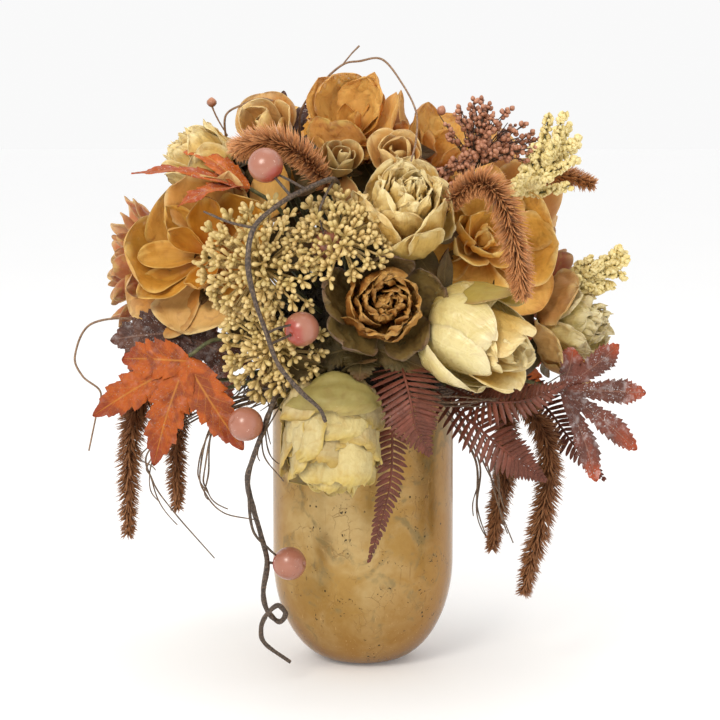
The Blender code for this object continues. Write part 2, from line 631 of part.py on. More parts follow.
def grow_tail(tail, stem, radius):
    """Return a stem that thickens into a core whose every facet rises into a leaning needle."""
    path = [Vector(point) for point in tail.path]
    length = sum((b - a).length for a, b in zip(path, path[1:]))
    count = max(4, round(length / tail.pitch)) + 1
    points = smooth_path(path, count)
    growth = Growth()
    course = stem[:-1] + points
    frames = path_frames(course)[len(stem) - 1:]
    heading = (points[1] - points[0]).normalized()
    last = growth.tube(stem[:-1] + [points[0]], (radius, radius), tail.sides, heading)
    for index in range(1, count):
        share = index / (count - 1)
        here = tail.core * blend((0.8, 1.0, 1.0, 0.9, 0.5), share)
        _, side, other = frames[index]
        turns = [2 * math.pi * (step + 0.5 * index) / tail.sides for step in range(tail.sides)]
        loop = growth.loop([points[index] + (side * math.cos(turn) + other * math.sin(turn)) * here
                            for turn in turns])
        if index == 1:
            growth.bridge(last, loop)
        else:
            reach = tail.spike * blend((0.7, 1.0, 1.0, 0.95, 0.7), share)
            centre = (points[index] + points[index - 1]) / 2
            for step in range(tail.sides):
                after = (step + 1) % tail.sides
                facet = [last[step], last[after], loop[after], loop[step]]
                middle = sum((growth.points[corner] for corner in facet), Vector((0, 0, 0))) / 4
                outward = (middle - centre).normalized()
                growth.cap(facet, middle + outward * reach * 0.82 + frames[index][0] * reach * 0.7)
        last = loop
    growth.cap(last, points[-1] + frames[-1][0] * tail.spike)
    return growth.solid()


def grow_umbel(umbel, stem, made):
    """Return a stem that ends in a hub of rays, each ray forking into three clubs."""
    axis = Vector(umbel.axis).normalized()
    side = axis.orthogonal().normalized()
    other = axis.cross(side)
    centre = Vector(umbel.centre)
    foot = stem[-1]
    growth = Growth()
    neck = growth.tube(stem, (1.1, 1.1), STEM_SIDES, axis)
    hub = None
    for rise, width in ((1.2, 2.2), (3.4, 2.4)):
        turns = [2 * math.pi * (step + 0.5) / umbel.rays for step in range(umbel.rays)]
        loop = growth.loop([foot + axis * rise + (side * math.cos(turn) + other * math.sin(turn)) * width
                            for turn in turns])
        if hub is None:
            growth.bridge(neck, loop)
        else:
            growth.band(hub, loop)
        hub = loop
    tops = growth.cap(hub, foot + axis * 4.6)
    facets = list(tops)
    band = [face for face in growth.faces if face[0] in hub or face[1] in hub or face[2] in hub]
    facets += [face for face in band if face not in tops][::2]
    for index, facet in enumerate(facets):
        middle = sum((growth.points[corner] for corner in facet), Vector((0, 0, 0))) / 3
        outward = (middle - foot - axis * 2.0).normalized()
        flat = (outward - axis * outward.dot(axis)).normalized()
        inner = facet in tops
        ring = 0.38 if inner else 0.78
        fork = centre + flat * umbel.radius * ring - axis * umbel.radius * (0.10 if inner else 0.28)
        if not made.clear([fork], 3.0):
            continue
        ends = growth.sprout(facet, [middle.lerp(fork, 0.5) + axis * 1.0, fork], (0.8, 1.3), 1.2)
        for rank, end in enumerate(ends):
            root = sum((growth.points[corner] for corner in end), Vector((0, 0, 0))) / 3
            away = (root - fork).normalized() + (fork - foot).normalized() * 0.9
            tip = root + away.normalized() * (umbel.radius * 0.30 + 1.5 * ((rank + index) % 3))
            if made.clear([root.lerp(tip, 0.6), tip], umbel.club + 1.0):
                growth.sprout(end, [tip], (umbel.club,), umbel.club * 0.8)
    return growth.solid()


def grow_vine(vine, stem):
    """Return a vine or a tendril with its side twigs, and its berries as separate solids."""
    radius = vine.thickness
    path = smooth_path(vine.path, len(vine.path) + 4)
    sides = 4 if radius > 1 else 3
    points = stem[:-1] + path
    growth = Growth()
    loop = growth.tube(points, (radius, radius, radius * 0.75), sides)
    growth.cap(loop, path[-1] + (path[-1] - path[-2]).normalized() * radius)
    solids = [growth.solid()]
    for twig in vine.twigs:
        solids.append(tube(smooth_path(twig, len(twig) + 1), (radius * 0.55 + 0.1, 0.5), 3))
    size = BERRY_RADIUS if radius > 1 else BEAD_RADIUS
    for centre in vine.berries:
        solids.append(ball(centre, size, 7, 4) if radius > 1 else ball(centre, size, 5, 3))
    return fuse(solids) if len(solids) > 1 else solids[0]


def add_mesh_object(name, solid, collection):
    """Put a solid, a pair of points and faces, into a collection as an object."""
    vertices, faces = solid
    mesh = bpy.data.meshes.new(name)
    mesh.from_pydata([tuple(vertex) for vertex in vertices], [], [tuple(face) for face in faces])
    item = bpy.data.objects.new(name, mesh)
    collection.objects.link(item)
    return item


def combine(body, others, operation, solver="EXACT"):
    """Join the body with the other solids, or cut them out of it, and return the result."""
    if not others:
        return body
    bench = bpy.data.collections.new("bench")
    bpy.context.scene.collection.children.link(bench)
    for index, other in enumerate(others):
        cutter = add_mesh_object(f"bench_{index}", other, bench)
        cutter.hide_render = True
        cutter.display_type = "WIRE"
    base = add_mesh_object("base", body, bpy.context.scene.collection)
    modifier = base.modifiers.new("combine", "BOOLEAN")
    modifier.operation = operation
    modifier.operand_type = "COLLECTION"
    modifier.collection = bench
    modifier.solver = solver
    shaped = bpy.data.meshes.new_from_object(base.evaluated_get(bpy.context.evaluated_depsgraph_get()))
    work = bmesh.new()
    work.from_mesh(shaped)
    bmesh.ops.triangulate(work, faces=work.faces[:])
    bmesh.ops.dissolve_degenerate(work, edges=work.edges[:], dist=0.002)
    bmesh.ops.triangulate(work, faces=work.faces[:])
    work.verts.index_update()
    result = ([vertex.co.copy() for vertex in work.verts],
              [tuple(vertex.index for vertex in face.verts) for face in work.faces])
    work.free()
    for item in [base] + list(bench.objects):
        bpy.data.objects.remove(item, do_unlink=True)
    bpy.data.collections.remove(bench)
    return result


def shells(solid):
    """Return the separate closed shells of a solid with their signed volumes."""
    vertices, faces = solid
    owner = list(range(len(vertices)))

    def find(index):
        while owner[index] != index:
            owner[index] = owner[owner[index]]
            index = owner[index]
        return index

    for face in faces:
        for corner in face[1:]:
            owner[find(corner)] = find(face[0])
    groups = {}
    for face in faces:
        groups.setdefault(find(face[0]), []).append(face)
    result = []
    for group in groups.values():
        used = sorted({corner for face in group for corner in face})
        place = {corner: index for index, corner in enumerate(used)}
        points = [vertices[corner] for corner in used]
        local = [tuple(place[corner] for corner in face) for face in group]
        volume = sum(points[f[0]].dot(points[f[1]].cross(points[f[2]])) for f in local) / 6
        result.append((volume, (points, local)))
    return sorted(result, key=lambda entry: entry[0], reverse=True)


def closed(solid):
    """Tell whether every edge of a solid has exactly two faces, one each way."""
    edges = {}
    for face in solid[1]:
        for start, end in zip(face, face[1:] + face[:1]):
            edges[(start, end)] = edges.get((start, end), 0) + 1
    return all(count == 1 and edges.get((end, start)) == 1 for (start, end), count in edges.items())


def settle(body, others, operation):
    """Combine in the exact way first and in the other way after it, until the result is closed."""
    for solver in ("EXACT", "MANIFOLD"):
        result = combine(body, others, operation, solver)
        if result[1] and closed(result):
            return result
    return None


def fuse(solids):
    """Join closed solids into one."""
    return settle(solids[0], solids[1:], "UNION") or solids[0]


def carve(solid, cutters):
    """Cut the cutters out of a solid, all at once or else one after another."""
    together = settle(solid, cutters, "DIFFERENCE")
    if together:
        return together
    for cutter in cutters:
        solid = settle(solid, [cutter], "DIFFERENCE") or solid
    return solid


def grown(solid, margin):
    """Return a solid with its surface moved outward by the margin."""
    vertices, faces = solid
    normals = [Vector((0, 0, 0)) for _ in vertices]
    for face in faces:
        first, second, third = (vertices[corner] for corner in face[:3])
        normal = (second - first).cross(third - first).normalized()
        for place, corner in enumerate(face):
            before = vertices[face[place - 1]] - vertices[corner]
            after = vertices[face[(place + 1) % len(face)]] - vertices[corner]
            normals[corner] += normal * before.angle(after, 0.0)
    return [vertex + normal.normalized() * margin for vertex, normal in zip(vertices, normals)], faces


def search_tree(solid):
    """Return a tree for finding the nearest point and the crossings of a solid."""
    vertices, faces = solid
    return BVHTree.FromPolygons(vertices, faces)


class Piece:
    """One plant piece: the anchor where its stem meets its head, and how to grow the whole."""

    def __init__(self, name, colour, anchor, heading, radius, grow):
        self.name = name
        self.colour = colour
        self.anchor = Vector(anchor)
        self.heading = Vector(heading).normalized()
        self.radius = radius
        self.grow = grow
        level = max(FOAM_LOWEST_STEM, min(self.anchor.z, FOAM_TOP_CENTRE))
        self.root = Vector((0, 0, level)) + (self.anchor - Vector((0, 0, level))).normalized() * STEM_ROOT
        self.stem = []

    def settle_root(self):
        """Bring the root back to its depth in the foam after it was pushed aside."""
        self.root.z = max(self.root.z, FOAM_LOWEST_STEM)
        level = Vector((0, 0, min(self.root.z, FOAM_TOP_CENTRE)))
        self.root = level + (self.root - level).normalized() * STEM_ROOT

    def lay_stem(self, balls):
        """Lay the stem from its root, straight out of the foam, and around the other heads."""
        level = Vector((0, 0, min(self.root.z, FOAM_TOP_CENTRE)))
        direction = (self.root - level).normalized()
        outside = level + direction * 51.0
        reach = (self.anchor - outside).length
        course = []
        for t in (0.33, 0.67) if reach > 38 else (0.5,) if reach > 12 else ():
            course.append(outside * (2 * t ** 3 - 3 * t ** 2 + 1)
                          + direction * reach * (t ** 3 - 2 * t ** 2 + t)
                          + self.anchor * (3 * t ** 2 - 2 * t ** 3)
                          + self.heading * reach * (t ** 3 - t ** 2))
        for _ in range(12):
            for index, point in enumerate(course):
                for name, centre, radius in balls:
                    away = point - centre
                    room = radius + self.radius + 1.0 - away.length
                    inside = (self.anchor - centre).length < radius or (outside - centre).length < radius
                    if name != self.name and room > 0 and not inside:
                        course[index] = point + away.normalized() * room * 0.5
        self.stem = [self.root, outside] + course + [self.anchor]

    def stem_tube(self, margin=0.0):
        """Return the stem as a closed tube, or the shape of the hole it needs."""
        points = list(self.stem)
        points[0] = points[0] - (points[1] - points[0]).normalized() * margin
        return tube(points, (self.radius + margin,) * 2, STEM_SIDES)


class Arrangement:
    """The pieces built so far, which the next pieces have to stay clear of."""

    def __init__(self):
        self.built = []

    def clear(self, points, reach):
        """Tell whether every point is farther than reach from everything built."""
        return all(tree.find_nearest(point, reach)[0] is None
                   for _, _, tree in self.built for point in points)

    def bend(self, points, reach, outward):
        """Push points outward until they have their room, and their neighbours nearly as far."""
        outward = Vector(outward).normalized()
        needs = []
        for point in points:
            need = 0.0
            while need < 18.0 and not self.clear([point + outward * need], reach):
                need += 1.5
            needs.append(need)
        pushes = [max(need - 0.6 * (point - other).length for need, other in zip(needs, points))
                  for point in points]
        return [point + outward * max(push, 0.0) for point, push in zip(points, pushes)]

    def add(self, name, colour, solid):
        """Keep a finished solid."""
        self.built.append((name, (solid, colour), search_tree(grown(solid, PIECE_GAP * 0.7))))

    def build(self, piece, others):
        """Grow a piece and clear it of its neighbours' stems and of the pieces built before it."""
        whole = piece.grow(piece, self)
        tree = search_tree(whole)
        cutters = []
        for other in others:
            if other is not piece:
                hole = other.stem_tube(PIECE_GAP)
                if search_tree(hole).overlap(tree):
                    cutters.append(hole)
        for _, (solid, _), near in self.built:
            if near.overlap(tree):
                cutters.append(grown(solid, PIECE_GAP))
        if cutters:
            whole = shells(carve(whole, cutters))[0][1]
        self.add(piece.name, piece.colour, whole)


def bloom_piece(bloom):
    """Describe a bloom as a piece."""
    anchor = bloom_frame(bloom) @ Vector((0, 0, -0.22 * bloom.size - 1.5))
    return Piece(bloom.name, bloom.colour, anchor, bloom.axis, 1.5,
                 lambda piece, made: grow_bloom(bloom, piece.stem))


def leaf_piece(leaf):
    """Describe a lobed leaf as a piece."""
    base = Vector(leaf.base)
    middle = sum((Vector(tip) for tip in leaf.tips), Vector((0, 0, 0))) / len(leaf.tips) - base
    anchor = base - middle.normalized() * 3.0

    def grow(piece, made):
        points, triangles, gate = leaf_sheet(leaf)
        facing = Vector(leaf.facing).normalized()
        return grow_blade((made.bend(points, 1.2, facing), triangles, gate), piece, LEAF_BLADE, facing)

    return Piece(leaf.name, leaf.colour, anchor, middle, 1.1, grow)


def fern_piece(fern):
    """Describe a fern frond as a piece."""
    start = Vector(fern.path[0])
    heading = (Vector(fern.path[1]) - start).normalized()

    def grow(piece, made):
        points, triangles, gate = fern_sheet(fern)
        return grow_blade((made.bend(points, 1.2, fern.facing), triangles, gate), piece, BLADE)

    return Piece(fern.name, BURGUNDY, start - heading * 3.0, heading, 0.9, grow)


def tail_piece(tail):
    """Describe a foxtail or a heather spray as a piece."""
    start = Vector(tail.path[0])
    return Piece(tail.name, tail.colour, start, Vector(tail.path[1]) - start, 1.1,
                 lambda piece, made: grow_tail(tail, piece.stem, piece.radius))


def umbel_piece(umbel):
    """Describe an umbel of clubs or beads as a piece."""
    axis = Vector(umbel.axis).normalized()
    foot = Vector(umbel.centre) - axis * umbel.radius * 0.75
    return Piece(umbel.name, umbel.colour, foot, axis, 1.1,
                 lambda piece, made: grow_umbel(umbel, piece.stem, made))


def vine_piece(vine):
    """Describe a vine or a tendril with its side twigs and berries as a piece."""
    start = Vector(vine.path[0])
    return Piece(vine.name, TWIG, start, Vector(vine.path[1]) - start, vine.thickness,
                 lambda piece, made: grow_vine(vine, piece.stem))


def vase_profile():
    """Return the outer line of the vase from the middle of its base to its rim."""
    points = [(0.0, 0.0), (VASE_BASE_RADIUS, 0.0)]
    for step in range(1, 7):
        turn = math.pi / 2 * step / 6
        radius = VASE_BASE_RADIUS + VASE_CORNER_WIDTH * math.sin(turn)
        points.append((radius, VASE_CORNER_HEIGHT * (1 - math.cos(turn))))
    points.append((VASE_RADIUS, VASE_HEIGHT - 0.8))
    points.append((VASE_RADIUS - 0.7, VASE_HEIGHT))
    return points


def inner_profile(inset):
    """Return the line inside the vase, set in from its outer line, from the base to the sides."""
    floor = VASE_BASE_THICKNESS + inset - VASE_WALL
    points = [(0.0, floor)]
    for step in range(1, 5):
        turn = math.pi / 2 * step / 4
        radius = VASE_BASE_RADIUS + (VASE_CORNER_WIDTH - inset) * math.sin(turn)
        points.append((radius, VASE_CORNER_HEIGHT - (VASE_CORNER_HEIGHT - floor) * math.cos(turn)))
    return points


def lathe(profile, segments):
    """Turn a line of radius and height points, with both ends on the axis, into a solid."""
    vertices = [Vector((0, 0, profile[0][1]))]
    for radius, height in profile[1:-1]:
        for step in range(segments):
            turn = 2 * math.pi * step / segments
            vertices.append(Vector((radius * math.cos(turn), radius * math.sin(turn), height)))
    vertices.append(Vector((0, 0, profile[-1][1])))
    last = len(vertices) - 1
    rings = len(profile) - 2
    faces = []
    for step in range(segments):
        after = (step + 1) % segments
        faces.append((0, 1 + after, 1 + step))
        for ring in range(rings - 1):
            low = 1 + ring * segments
            high = low + segments
            faces.append((low + step, low + after, high + after, high + step))
        high = 1 + (rings - 1) * segments
        faces.append((high + step, high + after, last))
    return vertices, faces


def build_vase():
    """Return the vase: straight sides, a rounded bottom, a small flat foot and an open top."""
    inside = inner_profile(VASE_WALL)
    inside.append((VASE_RADIUS - VASE_WALL, VASE_HEIGHT))
    return lathe(vase_profile() + list(reversed(inside)), VASE_SEGMENTS)


def build_foam(pieces, pins):
    """Return the foam: it fills the vase, rises into a dome and has a hole for every stem."""
    inset = VASE_WALL + FOAM_GAP
    radius = VASE_RADIUS - inset
    profile = inner_profile(inset) + [(radius, FOAM_TOP_CENTRE)]
    for step in range(1, 4):
        turn = math.pi / 2 * step / 3
        profile.append((radius * math.cos(turn), FOAM_TOP_CENTRE + radius * math.sin(turn)))
    profile[-1] = (0.0, FOAM_TOP_CENTRE + radius)
    holes = [piece.stem_tube(HOLE_GAP) for piece in pieces]
    for inner, outer in pins:
        deep = inner - (outer - inner).normalized() * HOLE_GAP
        holes.append(tube([deep, outer], (NEST_PIN_RADIUS + HOLE_GAP,) * 2, STEM_SIDES))
    return shells(carve(lathe(profile, FOAM_SEGMENTS), holes))[0][1]


def nest_pins():
    """Return the three short rods that pin the nest of twigs to the foam."""
    pins = []
    for turn_degrees in (45, 171, 279):
        turn = math.radians(turn_degrees)
        out = Vector((math.cos(turn), math.sin(turn), 0))
        pins.append((out * 30 + UP * NEST_HEIGHT, out * NEST_RING_RADIUS + UP * NEST_HEIGHT))
    return pins


def grow_twig(growth, face, course, size, sharp):
    """Grow a twig out of the middle of a face: a small flat start and then an even run."""
    corners = [growth.points[corner] for corner in face]
    middle = sum(corners, Vector((0, 0, 0))) / len(corners)
    normal = (corners[1] - corners[0]).cross(corners[2] - corners[0]).normalized()
    sizes = [size * 1.3] + [size] * (len(course) - 1) + [sharp]
    growth.sprout(face, [middle + normal * 0.4] + course, sizes, 1.0)


def build_nest(made, pins):
    """Return the mat of fine twigs around the rim: a wreath whose facets grow twigs and strands."""
    chance = random.Random("nest")
    growth = Growth()
    loops = []
    for step in range(NEST_FACETS):
        turn = 2 * math.pi * step / NEST_FACETS
        out = Vector((math.cos(turn), math.sin(turn), 0))
        centre = out * (NEST_RING_RADIUS + 1.2 * (-1) ** step) + UP * NEST_HEIGHT
        corners = ((-1, -1), (-1, 1), (1, 1), (1, -1))
        loops.append(growth.loop([centre + out * x * 1.9 + UP * z * 1.9 for x, z in corners]))
    facets = []
    for step in range(NEST_FACETS):
        low, high = loops[step], loops[(step + 1) % NEST_FACETS]
        for index in range(4):
            after = (index + 1) % 4
            facets.append((index, (low[index], low[after], high[after])))
            facets.append((index, (low[index], high[after], high[index])))
    growth.faces += [facet for _, facet in facets]
    middles = {facet: sum((growth.points[corner] for corner in facet), Vector((0, 0, 0))) / 3
               for _, facet in facets}
    courses = []
    for strand in NEST_STRANDS:
        path = [Vector(point) for point in strand]
        near = min((facet for index, facet in facets if index == 2 and facet in growth.faces),
                   key=lambda facet: (middles[facet] - path[0]).length)
        courses.append(smooth_path(path, 30))
        grow_twig(growth, near, smooth_path(path, len(path) + 2), 0.8, 0.6)
    for index, facet in facets:
        if index in (0, 3) or facet not in growth.faces or chance.random() < NEST_BARE_SHARE:
            continue
        start = middles[facet]
        out = Vector((start.x, start.y, 0)).normalized()
        round_about = UP.cross(out) * chance.choice((-1, 1))
        rise = Vector((0, 0, 3.5)) + out * 1.5 if index == 1 else out * 4.0 - UP * 0.7
        reach = chance.uniform(12, 26)
        middle = start + rise + round_about * reach * 0.25
        end = middle + out * reach * 0.5 + round_about * reach * 0.7 + UP * chance.uniform(-3, 1)
        course = smooth_path([start, middle, end], 9)
        room = all((a - b).length > 2.4 for other in courses for a in other for b in course[2:])
        if room and made.clear(course[2:], 1.4):
            courses.append(course)
            grow_twig(growth, facet, [course[3], course[8]], 0.8, 0.6)
    whole = fuse([growth.solid()] + [tube(pin, (NEST_PIN_RADIUS,) * 2, STEM_SIDES) for pin in pins])
    tree = search_tree(whole)
    cutters = [grown(solid, PIECE_GAP) for _, (solid, _), near in made.built if near.overlap(tree)]
    return shells(carve(whole, cutters) if cutters else whole)[0][1]


def plain_material(name, colour, metallic, roughness):
    """Return a material with one colour."""
    material = bpy.data.materials.new(name)
    material.use_nodes = True
    shader = material.node_tree.nodes["Principled BSDF"]
    shader.inputs["Base Color"].default_value = (*colour, 1.0)
    shader.inputs["Metallic"].default_value = metallic
    shader.inputs["Roughness"].default_value = roughness
    return material


def place(name, solid, colour, metallic=0.0, roughness=0.7):
    """Put a finished solid into the scene in metres, with a material of its own."""
    vertices, faces = solid
    scaled = [vertex * METRES for vertex in vertices]
    item = add_mesh_object(name, (scaled, faces), bpy.context.scene.collection)
    item.data.polygons.foreach_set("use_smooth", [True] * len(item.data.polygons))
    item.data.set_sharp_from_angle(angle=math.radians(35))
    item.data.materials.append(plain_material(name, colour, metallic, roughness))
    item.data.update()


def spread_roots(pieces):
    """Push the roots of all stems apart, so that every stem has its own hole."""
    for _ in range(80):
        for index, piece in enumerate(pieces):
            for other in pieces[:index]:
                gap = piece.root - other.root
                if gap.length < STEM_SPACING:
                    push = gap.normalized() * (STEM_SPACING - gap.length) * 0.5
                    piece.root += push
                    other.root -= push
        for piece in pieces:
            piece.settle_root()


def main():
    """Build every piece of the centrepiece."""
    for item in list(bpy.data.objects):
        bpy.data.objects.remove(item, do_unlink=True)
    pieces = [bloom_piece(bloom) for bloom in BLOOMS]
    pieces += [vine_piece(vine) for vine in VINES]
    pieces += [umbel_piece(umbel) for umbel in UMBELS]
    pieces += [tail_piece(tail) for tail in TAILS]
    pieces += [vine_piece(vine) for vine in TENDRILS]
    pieces += [leaf_piece(leaf) for leaf in LEAVES]
    pieces += [fern_piece(fern) for fern in FERNS]
    spread_roots(pieces)
    balls = [(bloom.name, Vector(bloom.centre), bloom.size * 0.8) for bloom in BLOOMS]
    for piece in pieces:
        piece.lay_stem(balls)
    made = Arrangement()
    vase = build_vase()
    made.add("vase", GOLD, vase)
    for piece in pieces:
        made.build(piece, pieces)
    pins = nest_pins()
    nest = build_nest(made, pins)
    foam = build_foam(pieces, pins)
    place("vase", vase, GOLD, 0.9, 0.3)
    place("foam", foam, FOAM_GREEN)
    place("nest", nest, TWIG)
    for name, (solid, colour), _ in made.built[1:]:
        place(name, solid, colour)


main()
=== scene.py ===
"""Floral table centrepiece: a crackled gold glass vase with an autumn arrangement, dressed.

Lengths are in millimetres until a mesh is made, which is in metres. The vase stands on Z = 0
around the Z axis and the front of the arrangement faces -Y. Each piece of the arrangement is one
object that replaces the plain solid of the same place.
"""

import logging
import math
from dataclasses import dataclass, field, fields
from enum import Enum
from functools import lru_cache
from typing import Any, Iterable, Sequence

import bpy
import numpy as np
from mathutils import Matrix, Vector


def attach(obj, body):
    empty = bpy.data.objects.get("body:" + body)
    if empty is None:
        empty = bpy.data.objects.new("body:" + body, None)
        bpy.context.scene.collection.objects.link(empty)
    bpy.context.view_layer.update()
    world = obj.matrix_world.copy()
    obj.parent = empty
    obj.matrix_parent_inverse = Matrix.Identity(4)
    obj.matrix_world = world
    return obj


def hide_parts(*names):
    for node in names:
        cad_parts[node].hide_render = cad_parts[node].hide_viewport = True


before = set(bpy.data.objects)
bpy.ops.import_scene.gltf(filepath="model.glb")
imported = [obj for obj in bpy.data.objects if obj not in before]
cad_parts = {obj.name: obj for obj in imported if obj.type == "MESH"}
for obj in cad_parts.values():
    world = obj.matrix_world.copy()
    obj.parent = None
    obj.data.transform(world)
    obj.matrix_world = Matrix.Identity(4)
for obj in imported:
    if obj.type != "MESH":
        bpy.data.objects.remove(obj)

LOG = logging.getLogger("centrepiece")

METRES = 0.001
UP = np.array((0.0, 0.0, 1.0))
GOLDEN_TURN = 2.39996
GOLDEN_DEGREES = 137.5
BERRY_RADIUS = 8.8
BERRY_HALF_HEIGHT = 8.9
VASE_RADIUS = 50.0
VASE_HEIGHT = 150.0

Triple = tuple[float, float, float]
Colour = tuple[float, float, float]
Array = np.ndarray


def unit(vector: Array) -> Array:
    """Return a vector, or each row of an array of vectors, at length one."""
    return vector / np.maximum(np.linalg.norm(vector, axis=-1, keepdims=True), 1e-9)


def chance_for(name: str) -> np.random.Generator:
    """Return the random numbers that belong to a name, the same in each run."""
    return np.random.default_rng(list(name.encode()))


def read(values: Sequence[float], shares: Array) -> Array:
    """Read a row of values at shares from 0 to 1 of its length, with straight steps."""
    return np.interp(np.asarray(shares) * (len(values) - 1), np.arange(len(values)), values)


def smooth_path(points: Sequence[Any], count: int) -> Array:
    """Return points along a smooth curve through the given ones.

    Args:
        points: The points that the curve goes through.
        count: How many points to return.

    Returns:
        An array with a row for each point.
    """
    marks = np.array([tuple(point) for point in points], float)
    ends = np.vstack([2 * marks[0] - marks[1], marks, 2 * marks[-1] - marks[-2]])
    place = np.linspace(0, len(marks) - 1, count)
    index = np.minimum(place.astype(int), len(marks) - 2)
    t = (place - index)[:, None]
    p0, p1, p2, p3 = (ends[index + step] for step in range(4))
    return 0.5 * (2 * p1 + (p2 - p0) * t + (2 * p0 - 5 * p1 + 4 * p2 - p3) * t ** 2
                  + (3 * p1 - p0 - 3 * p2 + p3) * t ** 3)


def path_frames(path: Array) -> tuple[Array, Array, Array]:
    """Carry a frame along a path without twist.

    Args:
        path: The points of the path.

    Returns:
        The tangents and two side directions, with a row for each point.
    """
    tangents = unit(np.gradient(path, axis=0))
    side = unit(np.cross(tangents[0], UP if abs(tangents[0][2]) < 0.9 else np.array((1.0, 0, 0))))
    sides = []
    for tangent in tangents:
        side = unit(side - tangent * side.dot(tangent))
        sides.append(side)
    sides = np.array(sides)
    return tangents, sides, np.cross(tangents, sides)


def offshoots(path: Array, index: Array, turns: Array) -> tuple[Array, Array]:
    """Find how side shoots leave a path.

    Args:
        path: The points of the path.
        index: The point at which each shoot starts.
        turns: The turn of each shoot around the path.

    Returns:
        The path's tangent at each shoot, and the direction in which the shoot leaves.
    """
    tangents, sides, others = path_frames(path)
    turns = turns[:, None]
    return tangents[index], sides[index] * np.cos(turns) + others[index] * np.sin(turns)


def length_of(path: Array) -> float:
    """Return the length of a path."""
    return float(np.linalg.norm(np.diff(path, axis=0), axis=1).sum())


def growth(along: Array, across: Array, chance: Array | float = 0.0, depth: Array | float = 0.0) -> Array:
    """Return the growth marks of points, as the last direction of one array."""
    return np.stack(np.broadcast_arrays(along, across, chance, depth), -1)


def folds(along: Array, across: Array, chance: np.random.Generator, reach: float = 4.0) -> Array:
    """Return a field of soft creases between about -1 and 1.

    Args:
        along: A coordinate from 0 to 1.
        across: Another coordinate from -1 to 1, of the same shape.
        chance: Where the random directions come from.
        reach: How many creases there are at most along the first coordinate.

    Returns:
        The height of the creases at each place.
    """
    total = np.zeros(np.broadcast(along, across).shape)
    weight = 0.0
    octaves = 6
    for octave in range(octaves):
        rate = 1 + reach * octave / (octaves - 1)
        tilt = chance.uniform(-1, 1)
        phase = chance.uniform(0, 1)
        wave = np.abs(np.sin(math.pi * (rate * along + rate * tilt * across + phase)))
        total += (1 - 2 * wave) / rate
        weight += 1 / rate
    return total / weight * 1.6


class Value:
    """A number or a colour in a shader graph. Arithmetic on it adds the nodes for it."""

    def __init__(self, graph: "Graph", socket: bpy.types.NodeSocket) -> None:
        """Keep the socket and the graph that it is in."""
        self.graph = graph
        self.socket = socket

    def __add__(self, other: "Value | float") -> "Value":
        """Return the sum."""
        return self.graph.maths("ADD", self, other)

    def __sub__(self, other: "Value | float") -> "Value":
        """Return the difference."""
        return self.graph.maths("SUBTRACT", self, other)

    def __rsub__(self, other: float) -> "Value":
        """Return the difference, from a plain number."""
        return self.graph.maths("SUBTRACT", other, self)

    def __mul__(self, other: "Value | float") -> "Value":
        """Return the product."""
        return self.graph.maths("MULTIPLY", self, other)

    def __truediv__(self, other: "Value | float") -> "Value":
        """Return the quotient."""
        return self.graph.maths("DIVIDE", self, other)

    def __pow__(self, power: float) -> "Value":
        """Return the power."""
        return self.graph.maths("POWER", self, power)

    def __abs__(self) -> "Value":
        """Return the size without its sign."""
        return self.graph.maths("ABSOLUTE", self)

    def __mod__(self, other: float) -> "Value":
        """Return what is left after whole steps."""
        return self.graph.maths("FLOORED_MODULO", self, other)

    __radd__ = __add__
    __rmul__ = __mul__

    def above(self, low: float, high: float) -> "Value":
        """Return a soft step from 0 at low to 1 at high."""
        inputs = {"Value": self, "From Min": low, "From Max": high}
        return self.graph.node("ShaderNodeMapRange", {"interpolation_type": "SMOOTHSTEP"}, inputs, "Result")

    def larger(self, other: "Value | float") -> "Value":
        """Return the larger of two."""
        return self.graph.maths("MAXIMUM", self, other)

    def other(self, name: str) -> "Value":
        """Return another output of the same node."""
        return Value(self.graph, self.socket.node.outputs[name])


